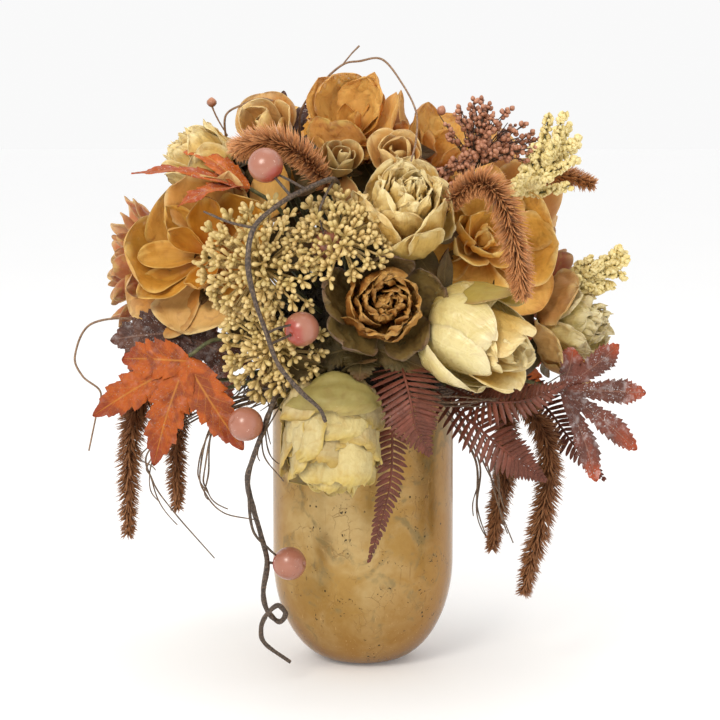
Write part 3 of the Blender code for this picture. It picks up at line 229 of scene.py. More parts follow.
class Graph:
    """The shader graph of one material."""

    def __init__(self, name: str) -> None:
        """Start a material with a Principled shader and nothing behind it but the place.

        Args:
            name: The name of the finish.
        """
        self.material = bpy.data.materials.new(f"{name}_finish")
        self.material.use_nodes = True
        self.tree = self.material.node_tree
        self.shader = self.tree.nodes["Principled BSDF"]
        self.place = self.node("ShaderNodeTexCoord", {}, {}, "Object")

    def node(self, kind: str, settings: dict[str, Any], inputs: dict[str | int, Any],
             output: str | int = 0) -> Value:
        """Add any node.

        Args:
            kind: The node's type.
            settings: Its settings, such as an operation. They are set first.
            inputs: Values or links for its sockets, by name or number.
            output: The output that is wanted, by name or number.

        Returns:
            That output.
        """
        node = self.tree.nodes.new(kind)
        for key, setting in settings.items():
            setattr(node, key, setting)
        for key, value in inputs.items():
            self.feed(node.inputs[key], value)
        return Value(self, node.outputs[output])

    def feed(self, socket: bpy.types.NodeSocket, value: Any) -> None:
        """Link a value to a socket, or set the socket to a plain number, vector or colour.

        Args:
            socket: The input socket.
            value: A Value, a number, or three numbers.
        """
        if isinstance(value, Value):
            self.tree.links.new(value.socket, socket)
        elif isinstance(value, tuple) and socket.type == "RGBA":
            socket.default_value = (*value, 1.0)
        else:
            socket.default_value = value

    def maths(self, operation: str, *values: "Value | float") -> Value:
        """Add a Math node and return its result."""
        return self.node("ShaderNodeMath", {"operation": operation}, dict(enumerate(values)))

    def mix(self, low: Value | Colour, high: Value | Colour, share: Value | float) -> Value:
        """Return a colour between two colours."""
        inputs = {0: share, 6: low, 7: high}
        return self.node("ShaderNodeMix", {"data_type": "RGBA", "clamp_factor": True}, inputs, 2)

    def shade(self, colour: Value, factor: Value) -> Value:
        """Make a colour lighter, or darker and warmer.

        Args:
            colour: The colour.
            factor: How much light is left. Below 1, blue falls more than red.

        Returns:
            The new colour.
        """
        tint = self.node("ShaderNodeCombineColor", {}, {0: factor ** 0.7, 1: factor, 2: factor ** 1.5})
        return self.node("ShaderNodeMix", {"data_type": "RGBA", "blend_type": "MULTIPLY"},
                         {0: 1.0, 6: colour, 7: tint}, 2)

    def stretched(self, factors: Triple) -> Value:
        """Return the place on the object with each direction scaled."""
        return self.node("ShaderNodeVectorMath", {"operation": "MULTIPLY"}, {0: self.place, 1: factors})

    def vector(self, x: Value | float, y: Value | float, z: Value | float) -> Value:
        """Return a vector of three numbers."""
        return self.node("ShaderNodeCombineXYZ", {}, {0: x, 1: y, 2: z})

    def noise(self, size: float, detail: float = 3.0, warp: float = 0.0, at: Value | None = None) -> Value:
        """Return cloudy noise from 0 to 1 whose lumps are about size millimetres wide."""
        return self.grain(at or self.place, detail, warp, 1 / (size * METRES))

    def grain(self, place: Value, detail: float, warp: float = 0.0, scale: float = 1.0) -> Value:
        """Return noise from 0 to 1 at a place."""
        inputs = {"Vector": place, "Scale": scale, "Detail": detail, "Distortion": warp}
        return self.node("ShaderNodeTexNoise", {}, inputs, "Fac")

    def cells(self, size: float, feature: str = "F1", at: Value | None = None) -> Value:
        """Return the distance to the points or edges of cells about size millimetres wide."""
        inputs = {"Vector": at or self.place, "Scale": 1 / (size * METRES)}
        return self.node("ShaderNodeTexVoronoi", {"feature": feature}, inputs, "Distance")

    def marks(self) -> "Marks":
        """Read the growth marks of the mesh.

        Returns:
            The four marks.
        """
        colour = self.node("ShaderNodeAttribute", {"attribute_name": "growth"}, {}, "Color")
        split = self.node("ShaderNodeSeparateColor", {}, {0: colour})
        return Marks(split, split.other("Green"), split.other("Blue"), colour.other("Alpha"))

    def finish(self, colour: Value | Colour, roughness: Value | float, bump: Value | None = None,
               depth: float = 0.3, **constants: float) -> bpy.types.Material:
        """Join the results to the shader.

        Args:
            colour: The base colour.
            roughness: The roughness.
            bump: The height of the fine relief, from 0 to 1.
            depth: How deep that relief is, in millimetres.
            constants: Other sockets of the shader, with spaces as underscores.

        Returns:
            The material.
        """
        values = {"Base Color": colour, "Roughness": roughness}
        if bump is not None:
            values["Normal"] = self.node("ShaderNodeBump", {}, {
                "Height": bump, "Distance": depth * METRES, "Strength": 1.0})
        values |= {key.replace("_", " "): value for key, value in constants.items()}
        for key, value in values.items():
            self.feed(self.shader.inputs[key], value)
        return self.material


@dataclass(frozen=True)
class Marks:
    """The numbers on a mesh: along a blade, across it, its own chance, and how deep it lies. On sheets depth
    is the inner side; on foxtail needles and heather florets it carries painted light and shade.
    """

    along: Value
    across: Value
    chance: Value
    depth: Value


@dataclass(frozen=True)
class Palette:
    """The colours of a petal from its base to its rim. The darker base is partly the petal's own colour and
    partly painted shade deep in the bloom; a lighter rim is partly painted light shining through.
    """

    base: Colour
    body: Colour
    rim: Colour


@dataclass(frozen=True)
class PetalFinish:
    """Dyed fabric petals: streaked and softly creased. The colour at the base is partly their own and partly
    painted shade, the creases carry painted shade, and a lighter rim is partly painted light.
    """

    name: str
    outer: Palette
    inner: Palette
    stain: Colour
    stain_share: float = 0.3
    rim_width: float = 0.35
    roughness: float = 0.55
    gloss: float = 0.25
    crease_size: float = 5.0
    crease_depth: float = 0.35

    def material(self) -> bpy.types.Material:
        """Make the material.

        Returns:
            The material.
        """
        graph = Graph(self.name)
        marks = graph.marks()
        palette = [graph.mix(outside, inside, marks.depth) for outside, inside in
                   zip((self.outer.base, self.outer.body, self.outer.rim),
                       (self.inner.base, self.inner.body, self.inner.rim))]
        cloud = graph.noise(9.0, 3.0, 0.6)
        base, body, rim = palette
        # Darker towards the base: partly the petal's own colour, partly painted shade deep inside the bloom.
        colour = graph.mix(base, body, (marks.along + cloud * 0.3).above(0.12, 0.7))
        side = abs(marks.across * 2.0 - 1.0)
        edge = (side ** 3.0).larger(marks.along ** 3.0)
        # Towards the rim: the petal's own edge colour, and where it is lighter, partly painted light shining
        # through.
        colour = graph.mix(colour, rim, (edge + cloud * 0.4 - 0.2).above(1 - self.rim_width, 1.0))
        colour = graph.mix(colour, rim, marks.chance.above(0.35, 1.0) * 0.45)
        colour = graph.mix(colour, base, (0.5 - marks.chance).above(0.0, 0.5) * 0.22)
        blotch = (graph.noise(7.0, 5.0, 1.0) + edge * 0.12).above(0.56, 0.72)
        colour = graph.mix(colour, self.stain, blotch * self.stain_share)
        threads = graph.vector(marks.across * 34.0, marks.along * 2.5, marks.chance * 40.0)
        streak = graph.grain(threads, 3.0)
        crease = graph.noise(self.crease_size, 4.0, 0.8)
        # Painted shade: darker where the crease relief is low, together with the real fabric streaks and a
        # random tone for each petal.
        streak_and_crease_shade = streak * 0.25 + crease * 0.4 + marks.chance * 0.15 + 0.46
        colour = graph.shade(colour, streak_and_crease_shade)
        relief = streak * 0.3 + crease * 0.7
        return graph.finish(colour, crease * 0.25 + (self.roughness - 0.12), relief, self.crease_depth,
                            Specular_IOR_Level=self.gloss, Subsurface_Weight=0.3,
                            Subsurface_Scale=0.002, Subsurface_Radius=(1.0, 1.0, 1.0))


@dataclass(frozen=True)
class LeafFinish:
    """A pressed leaf: a pale midrib, side veins, patches of a second colour, and frosting."""

    name: str
    body: Colour
    patch: Colour
    vein: Colour
    tip: Colour
    frost: float = 0.0
    veins: float = 9.0
    roughness: float = 0.5
    dust: Colour = (0.86, 0.84, 0.84)

    def material(self) -> bpy.types.Material:
        """Make the material.

        Returns:
            The material.
        """
        graph = Graph(self.name)
        marks = graph.marks()
        side = abs(marks.across * 2.0 - 1.0)
        cloud = graph.noise(11.0, 4.0, 0.8)
        colour = graph.mix(self.body, self.patch, cloud.above(0.42, 0.62))
        colour = graph.mix(colour, self.tip, (marks.along + cloud * 0.4).above(0.8, 1.25))
        row = abs((marks.along * self.veins - side * 1.9) % 1.0 - 0.5)
        ribs = (0.5 - row).above(0.40, 0.5) * (1.0 - side * 0.55)
        midrib = 1.0 - side.above(0.02, 0.09)
        fine = 1.0 - graph.cells(1.6, "DISTANCE_TO_EDGE").above(0.0, 0.12)
        lines = midrib.larger(ribs * 0.7).larger(fine * 0.22)
        colour = graph.mix(colour, self.vein, lines * 0.75)
        speck = graph.noise(0.9, 2.0).above(0.60, 0.68) * graph.noise(12.0, 2.0).above(0.36, 0.62)
        haze = graph.noise(4.0, 5.0).above(0.50, 0.8) * (0.55 * self.frost)
        frost = (speck * self.frost).larger(haze)
        colour = graph.shade(colour, graph.noise(2.4) * 0.7 + marks.chance * 0.2 + 0.52)
        colour = graph.mix(colour, self.dust, frost)
        relief = lines * 0.5 + graph.noise(1.5, 3.0) * 0.35 + speck * 0.5
        return graph.finish(colour, self.roughness - frost * 0.2, relief, 0.35, Specular_IOR_Level=0.3)


@dataclass(frozen=True)
class NeedleFinish:
    """Fine needles or florets that change colour from root to tip and from one to the next. The darker root
    is partly their own colour and partly painted shade where they crowd, and the depth mark adds painted
    light and shade.
    """

    name: str
    root: Colour
    tip: Colour
    other: Colour
    roughness: float = 0.5
    grain: float = 0.8

    def material(self) -> bpy.types.Material:
        """Make the material.

        Returns:
            The material.
        """
        graph = Graph(self.name)
        marks = graph.marks()
        # Darker at the root: partly their own colour, partly painted shade where the needles crowd.
        colour = graph.mix(self.root, self.tip, marks.along.above(0.0, 0.9))
        colour = graph.mix(colour, self.other, marks.chance.above(0.45, 1.0) * 0.7)
        grain = graph.noise(self.grain, 3.0)
        # Painted light and shade: the depth mark lightens foxtail needles that point up and heather florets
        # that stand farther out.
        colour = graph.shade(colour, grain * 0.6 + marks.depth * 0.25 + 0.6)
        return graph.finish(colour, grain * 0.2 + (self.roughness - 0.1), grain, 0.12)


@dataclass(frozen=True)
class BarkFinish:
    """Bark or dried stem: ridges and cracks that run along it."""

    name: str
    dark: Colour
    light: Colour
    roughness: float = 0.62

    def material(self) -> bpy.types.Material:
        """Make the material.

        Returns:
            The material.
        """
        graph = Graph(self.name)
        marks = graph.marks()
        cracks = graph.vector(marks.across * 7.0, marks.along * 26.0, marks.chance * 30.0)
        ridge = graph.grain(cracks, 4.0, 0.5)
        speck = graph.noise(1.2, 4.0)
        colour = graph.mix(self.dark, self.light, (ridge * 0.7 + speck * 0.3).above(0.4, 0.66))
        return graph.finish(colour, speck * 0.3 + (self.roughness - 0.15), ridge * 0.7 + speck * 0.3, 0.35)


@dataclass(frozen=True)
class BerryFinish:
    """A painted berry: satin lacquer with faint clouds and a darker blush at its stalk."""

    name: str
    body: Colour
    blush: Colour
    spot: Colour = (0.95, 0.72, 0.62)

    def material(self) -> bpy.types.Material:
        """Make the material.

        Returns:
            The material.
        """
        graph = Graph(self.name)
        marks = graph.marks()
        cloud = graph.noise(6.0, 4.0, 0.5)
        colour = graph.mix(self.body, self.blush, (1.0 - marks.along + cloud * 0.2).above(0.86, 1.06))
        spot = graph.noise(1.4, 3.0).above(0.66, 0.74)
        colour = graph.mix(graph.shade(colour, cloud * 0.3 + 0.86), self.spot, spot * 0.35)
        return graph.finish(colour, cloud * 0.2 + 0.2, cloud * 0.6 + spot * 0.2, 0.12,
                            Coat_Weight=0.35, Coat_Roughness=0.2)


@dataclass(frozen=True)
class GlassFinish:
    """Foiled glass: a clouded gold leaf with cracks, worn patches, black specks and runs, and painted shade
    on its right side, along its outline and under its bottom.
    """

    name: str
    gold: Colour
    deep: Colour
    pale: Colour
    worn: Colour
    # The colour of the painted shade along the outline and under the bottom.
    edge: Colour = (0.20, 0.09, 0.02)
    run: Colour = (0.16, 0.09, 0.035)
    scratch: Colour = (0.9, 0.74, 0.46)
    crack: Colour = (0.30, 0.19, 0.08)
    black: Colour = (0.012, 0.012, 0.012)

    def material(self) -> bpy.types.Material:
        """Make the material.

        Returns:
            The material.
        """
        graph = Graph(self.name)
        sideways = graph.node("ShaderNodeSeparateXYZ", {}, {0: graph.place}, "X")
        across = sideways * (1 / (VASE_RADIUS * METRES))
        height = sideways.other("Z") * (1 / (VASE_HEIGHT * METRES))
        broad = graph.noise(42.0, 4.0, 0.5)
        cloud = graph.noise(16.0, 6.0, 1.0)
        fine = graph.noise(3.0, 5.0, 0.4)
        colour = graph.mix(self.gold, self.pale, (broad * 0.6 + cloud * 0.4).above(0.42, 0.62))
        # Painted shade: deeper gold on the vase's right side, away from the key light, mixed with broad
        # random clouds in the foil.
        turned = (across * 0.5 + broad * 0.9).above(0.42, 1.0)
        colour = graph.mix(colour, self.deep, turned * 0.55)
        low = (0.42 - height + cloud * 0.22).above(0.12, 0.52)
        colour = graph.mix(colour, self.deep, low * 0.35)
        # Painted shade: darker along the vase's left and right outline as seen from the front, and under its
        # rounded bottom.
        foot = (0.38 - height).larger(0.0) * 2.63
        edge = (across * across + foot * foot + cloud * 0.2).above(0.78, 1.15)
        colour = graph.mix(colour, self.edge, edge * 0.7)
        patch = (graph.noise(17.0, 7.0, 1.4) * 0.75 + fine * 0.25 + height * 0.1).above(0.57, 0.69)
        colour = graph.mix(colour, self.worn, patch * 0.7)
        drawn = graph.stretched((1.0, 1.0, 0.10))
        run = graph.noise(2.6, 3.0, 0.2, drawn).above(0.66, 0.78) * broad.above(0.40, 0.6)
        colour = graph.mix(colour, self.run, run * 0.45)
        scratch = graph.noise(0.9, 2.0, 0.1, graph.stretched((1.0, 1.0, 0.035))).above(0.66, 0.74)
        colour = graph.mix(colour, self.scratch, scratch * (0.55 - height).above(0.1, 0.5) * 0.5)
        bent = graph.noise(5.0, 3.0)
        net = graph.vector(across + bent * 0.10, height * 3.0 + bent * 0.14, sideways.other("Y") * 20.0)
        crackle = graph.node("ShaderNodeTexVoronoi", {"feature": "DISTANCE_TO_EDGE"},
                             {"Vector": net, "Scale": 7.5}, "Distance")
        crack = 1.0 - crackle.above(0.0, 0.035)
        crack = crack * graph.noise(14.0, 3.0).above(0.5, 0.62)
        colour = graph.mix(colour, self.crack, crack * 0.42)
        speck = (1.0 - graph.cells(6.5).above(0.06, 0.14)) * graph.noise(7.0, 3.0).above(0.52, 0.58)
        flake = graph.noise(2.2, 5.0, 1.5).above(0.62, 0.66) * graph.noise(11.0, 2.0).above(0.54, 0.6)
        black = speck.larger(flake)
        colour = graph.mix(graph.shade(colour, fine * 0.35 + 0.82), self.black, black * 0.92)
        rough = fine * 0.25 + patch * 0.15 + 0.24
        dent = graph.noise(7.0, 2.0)
        relief = cloud * 0.25 + dent * 0.25 + fine * 0.15 - crack * 0.3 - black * 0.3 + scratch * 0.1
        return graph.finish(colour, rough, relief, 0.5, Metallic=0.7, Coat_Weight=1.0, Coat_IOR=1.2,
                            Coat_Tint=(0.86, 0.72, 0.50), Coat_Roughness=0.16)


@dataclass(frozen=True)
class MossFinish:
    """Dry dark moss and leaf litter. Its near-black colour is partly its own and partly painted shade for
    the gaps between the blooms.
    """

    name: str
    dark: Colour
    light: Colour

    def material(self) -> bpy.types.Material:
        """Make the material.

        Returns:
            The material.
        """
        graph = Graph(self.name)
        lump = graph.noise(4.0, 5.0, 0.6)
        fibre = graph.noise(0.7, 3.0)
        colour = graph.mix(self.dark, self.light, (lump * 0.6 + fibre * 0.4).above(0.42, 0.66))
        return graph.finish(colour, 0.9, lump * 0.4 + fibre * 0.6, 0.7)


@dataclass(frozen=True)
class FloorFinish:
    """The pale studio floor."""

    name: str = "studio_floor"
    dark: Colour = (0.88, 0.88, 0.88)
    light: Colour = (0.9, 0.9, 0.9)

    def material(self) -> bpy.types.Material:
        """Make the material.

        Returns:
            The material.
        """
        graph = Graph(self.name)
        return graph.finish(graph.mix(self.dark, self.light, graph.noise(180.0, 2.0)), 0.8,
                            Emission_Color=(1.0, 1.0, 1.0), Emission_Strength=0.105)


class Finish(Enum):
    """The finishes of the pieces."""

    GLASS = GlassFinish("mercury_glass", (0.43, 0.30, 0.115), (0.38, 0.20, 0.048), (0.55, 0.46, 0.28),
                        (0.27, 0.24, 0.15))
    # Nearly black moss: partly its own colour, partly painted shade in the gaps between the blooms.
    MOSS = MossFinish("floral_foam", (0.022, 0.016, 0.009), (0.085, 0.062, 0.03))
    CARAMEL = PetalFinish("caramel_petals",
                          Palette((0.16, 0.04, 0.005), (0.42, 0.165, 0.024), (0.62, 0.36, 0.10)),
                          Palette((0.40, 0.10, 0.003), (0.58, 0.26, 0.026), (0.74, 0.47, 0.13)),
                          (0.34, 0.12, 0.015), 0.3, 0.5, roughness=0.45)
    PEACH = PetalFinish("peach_petals", Palette((0.30, 0.10, 0.02), (0.62, 0.34, 0.12), (0.76, 0.54, 0.22)),
                        Palette((0.50, 0.16, 0.01), (0.68, 0.36, 0.10), (0.80, 0.58, 0.26)),
                        (0.36, 0.16, 0.06), 0.4, 0.5, roughness=0.45)
    AMBER = PetalFinish("amber_petals",
                        Palette((0.20, 0.05, 0.015), (0.62, 0.26, 0.055), (0.66, 0.38, 0.11)),
                        Palette((0.64, 0.27, 0.02), (0.84, 0.50, 0.14), (0.72, 0.36, 0.09)),
                        (0.38, 0.14, 0.02), 0.3, 0.5, crease_size=3.5, crease_depth=0.4)
    RUST = PetalFinish("rusty_petals",
                       Palette((0.16, 0.035, 0.014), (0.52, 0.17, 0.035), (0.50, 0.32, 0.08)),
                       Palette((0.36, 0.09, 0.01), (0.68, 0.28, 0.04), (0.56, 0.34, 0.08)),
                       (0.26, 0.06, 0.02), 0.5, crease_size=3.5, crease_depth=0.5)
    HONEY = PetalFinish("honey_petals", Palette((0.30, 0.09, 0.008), (0.80, 0.44, 0.08), (0.92, 0.63, 0.22)),
                        Palette((0.62, 0.21, 0.010), (0.90, 0.54, 0.12), (0.94, 0.70, 0.29)),
                        (0.44, 0.18, 0.03), 0.35, 0.5, crease_size=4.0)
    CREAM = PetalFinish("cream_petals",
                        Palette((0.34, 0.13, 0.010), (0.72, 0.49, 0.145), (0.92, 0.77, 0.40)),
                        Palette((0.48, 0.19, 0.010), (0.76, 0.50, 0.125), (0.92, 0.78, 0.42)),
                        (0.50, 0.28, 0.06), 0.3, 0.6, crease_size=2.6, crease_depth=0.7)
    IVORY = PetalFinish("ivory_petals", Palette((0.28, 0.17, 0.02), (0.66, 0.55, 0.225), (0.84, 0.74, 0.42)),
                        Palette((0.42, 0.25, 0.03), (0.68, 0.54, 0.18), (0.84, 0.72, 0.39)),
                        (0.40, 0.20, 0.09), 0.25, 0.5, roughness=0.28, gloss=0.6, crease_size=7.0,
                        crease_depth=0.9)
    LIME = PetalFinish("lime_petals", Palette((0.26, 0.18, 0.03), (0.40, 0.31, 0.07), (0.30, 0.19, 0.07)),
                       Palette((0.34, 0.22, 0.01), (0.54, 0.41, 0.06), (0.72, 0.60, 0.24)),
                       (0.34, 0.22, 0.04), 0.3, roughness=0.4)
    HOOD = PetalFinish("hood_petals", Palette((0.15, 0.13, 0.03), (0.245, 0.215, 0.07), (0.40, 0.31, 0.10)),
                       Palette((0.18, 0.15, 0.04), (0.30, 0.26, 0.09), (0.46, 0.37, 0.15)),
                       (0.26, 0.18, 0.06), 0.35, roughness=0.45, crease_size=6.0, crease_depth=0.3)
    PAPER = PetalFinish("paper_petals",
                        Palette((0.26, 0.13, 0.03), (0.60, 0.51, 0.275), (0.60, 0.45, 0.135)),
                        Palette((0.36, 0.18, 0.03), (0.60, 0.50, 0.25), (0.62, 0.46, 0.14)),
                        (0.48, 0.31, 0.08), 0.35, 0.3, roughness=0.6, crease_size=3.0, crease_depth=1.0)
    TAN = PetalFinish("tan_petals", Palette((0.10, 0.030, 0.005), (0.32, 0.125, 0.021), (0.56, 0.31, 0.088)),
                      Palette((0.18, 0.055, 0.005), (0.38, 0.155, 0.022), (0.60, 0.34, 0.095)),
                      (0.14, 0.05, 0.012), 0.4, crease_size=2.4, crease_depth=0.6)
    SMOKE = PetalFinish("smoke_petals",
                        Palette((0.055, 0.048, 0.010), (0.12, 0.092, 0.026), (0.13, 0.08, 0.06)),
                        Palette((0.10, 0.06, 0.014), (0.19, 0.13, 0.04), (0.22, 0.14, 0.09)),
                        (0.07, 0.045, 0.02), 0.5, crease_size=3.0, crease_depth=0.6)
    CORAL = PetalFinish("coral_petals",
                        Palette((0.24, 0.055, 0.018), (0.42, 0.13, 0.055), (0.54, 0.30, 0.13)),
                        Palette((0.36, 0.08, 0.02), (0.52, 0.18, 0.07), (0.66, 0.46, 0.24)),
                        (0.50, 0.34, 0.10), 0.5, rim_width=0.4, crease_size=3.0)
    GREEN_BUD = PetalFinish("green_petals",
                            Palette((0.20, 0.16, 0.05), (0.54, 0.38, 0.15), (0.70, 0.54, 0.26)),
                            Palette((0.24, 0.09, 0.02), (0.44, 0.22, 0.06), (0.68, 0.50, 0.22)),
                            (0.28, 0.22, 0.08), 0.4, 0.5)
    OLIVE_LEAF = LeafFinish("olive_leaves", (0.06, 0.042, 0.010), (0.10, 0.062, 0.016), (0.15, 0.10, 0.03),
                            (0.10, 0.045, 0.014), roughness=0.6)
    ORANGE_LEAF = LeafFinish("orange_leaves", (0.37, 0.068, 0.004), (0.21, 0.036, 0.006), (0.44, 0.16, 0.02),
                             (0.24, 0.03, 0.008), frost=0.12, roughness=0.6)
    ROSY_LEAF = LeafFinish("rosy_leaves", (0.50, 0.11, 0.012), (0.36, 0.06, 0.012), (0.62, 0.28, 0.07),
                           (0.36, 0.06, 0.012), frost=0.35, roughness=0.6)
    FROSTED_LEAF = LeafFinish("frosted_brown_leaves", (0.05, 0.018, 0.012), (0.09, 0.034, 0.018),
                              (0.18, 0.09, 0.06), (0.09, 0.026, 0.014), frost=0.4)
    BUCKEYE_LEAF = LeafFinish("buckeye_leaves", (0.10, 0.034, 0.024), (0.15, 0.04, 0.024),
                              (0.26, 0.12, 0.08), (0.40, 0.06, 0.012), frost=0.6)
    FERN = LeafFinish("burgundy_fern", (0.11, 0.03, 0.017), (0.17, 0.045, 0.026), (0.30, 0.125, 0.07),
                      (0.10, 0.026, 0.016), veins=4.0, roughness=0.36)
    COPPER = NeedleFinish("copper_needles", (0.13, 0.042, 0.016), (0.64, 0.31, 0.125), (0.46, 0.18, 0.06),
                          0.3)
    RUSSET = NeedleFinish("russet_needles", (0.11, 0.042, 0.018), (0.34, 0.155, 0.065), (0.24, 0.09, 0.036),
                          0.4)
    HEATHER = NeedleFinish("heather_florets", (0.58, 0.46, 0.15), (0.86, 0.74, 0.38), (0.76, 0.62, 0.24),
                           0.6)
    SEDUM = NeedleFinish("cream_sedum", (0.385, 0.26, 0.08), (0.61, 0.44, 0.175), (0.46, 0.34, 0.11), 0.45)
    BEADS = NeedleFinish("rose_beads", (0.18, 0.06, 0.03), (0.48, 0.215, 0.12), (0.32, 0.12, 0.06), 0.35)
    BARK = BarkFinish("vine_bark", (0.03, 0.018, 0.012), (0.15, 0.10, 0.065), 0.5)
    TENDRIL = BarkFinish("tendril_bark", (0.16, 0.085, 0.045), (0.38, 0.24, 0.14))
    STRAW = BarkFinish("nest_twigs", (0.055, 0.03, 0.018), (0.27, 0.17, 0.10), 0.5)
    STALK = BarkFinish("green_stalks", (0.06, 0.065, 0.022), (0.16, 0.15, 0.06))
    BERRY = BerryFinish("coral_berry", (0.34, 0.13, 0.08), (0.32, 0.05, 0.03))
    FLOOR = FloorFinish()

    @lru_cache(maxsize=None)
    def material(self) -> bpy.types.Material:
        """Return the finish's material, which is made once."""
        return self.value.material()


def grid_faces(rows: int, columns: int, wrap: bool = False) -> Array:
    """Find the four-cornered faces of a grid of points.

    Args:
        rows: How many rows of points there are.
        columns: How many points a row has.
        wrap: Whether the last column joins the first.

    Returns:
        The corners of each face.
    """
    index = np.arange(rows * columns).reshape(rows, columns)
    if wrap:
        index = np.hstack([index, index[:, :1]])
    return np.stack([index[:-1, :-1], index[:-1, 1:], index[1:, 1:], index[1:, :-1]], -1).reshape(-1, 4)


def tube_faces(rows: int, sides: int) -> tuple[Array, ...]:
    """Return the faces of a closed tube: those around it, its foot and its top."""
    foot = np.arange(sides)[None]
    return grid_faces(rows, sides, True), foot[:, ::-1], foot + (rows - 1) * sides


@dataclass(frozen=True)
class Form:
    """A small form that is copied many times, standing on its foot and pointing along Z."""

    points: Array
    faces: tuple[Array, ...]
    along: Array
    across: Array

    @staticmethod
    def turned(profile: Sequence[tuple[float, float]], sides: int, lobes: int = 0, depth: float = 0.0,
               flat: float = 1.0, bend: float = 0.0) -> "Form":
        """Turn a profile around Z.

        Args:
            profile: Radius and height from foot to top.
            sides: How many points go around.
            lobes: How many lobes go around.
            depth: How deep the lobes are, as a share of the radius.
            flat: How thick the form is against its width.
            bend: How far the top leans along X.

        Returns:
            The form.
        """
        radii, heights = np.array(profile).T
        turns = np.arange(sides) * 2 * math.pi / sides
        share = (heights - heights[0]) / (heights[-1] - heights[0])
        lobed = radii[:, None] * (1 + depth * np.cos(lobes * turns) * np.sin(share[:, None] * math.pi))
        points = np.stack([lobed * np.cos(turns) + bend * share[:, None] ** 2,
                           lobed * np.sin(turns) * flat,
                           np.repeat(heights[:, None], sides, 1)], -1).reshape(-1, 3)
        return Form(points, tube_faces(len(radii), sides), np.repeat(share, sides),
                    np.tile(turns / (2 * math.pi), len(radii)))


NEEDLE = Form.turned(((0.40, 0.0), (0.36, 0.35), (0.24, 0.72), (0.03, 1.0)), 3, bend=0.16)
FLORET = Form.turned(((0.25, 0.0), (0.75, 0.3), (0.8, 0.75), (0.3, 1.1)), 6, 3, 0.3)
CLUB = Form.turned(((0.42, 0.0), (0.38, 1.8), (0.44, 2.8), (0.66, 3.6), (0.92, 4.4), (1.0, 5.1), (0.84, 5.8),
                    (0.46, 6.2), (0.05, 6.3)), 8, 4, 0.12)
BEAD = Form.turned(((0.10, 0.0), (0.6, 0.25), (0.95, 0.8), (0.92, 1.35), (0.55, 1.85), (0.14, 2.15)),
                   8, 4, 0.06)
PINNA = Form.turned(((0.12, 0.0), (0.20, 0.2), (0.215, 0.45), (0.19, 0.7), (0.125, 0.88), (0.02, 1.0)), 6,
                    flat=0.2, bend=0.14)


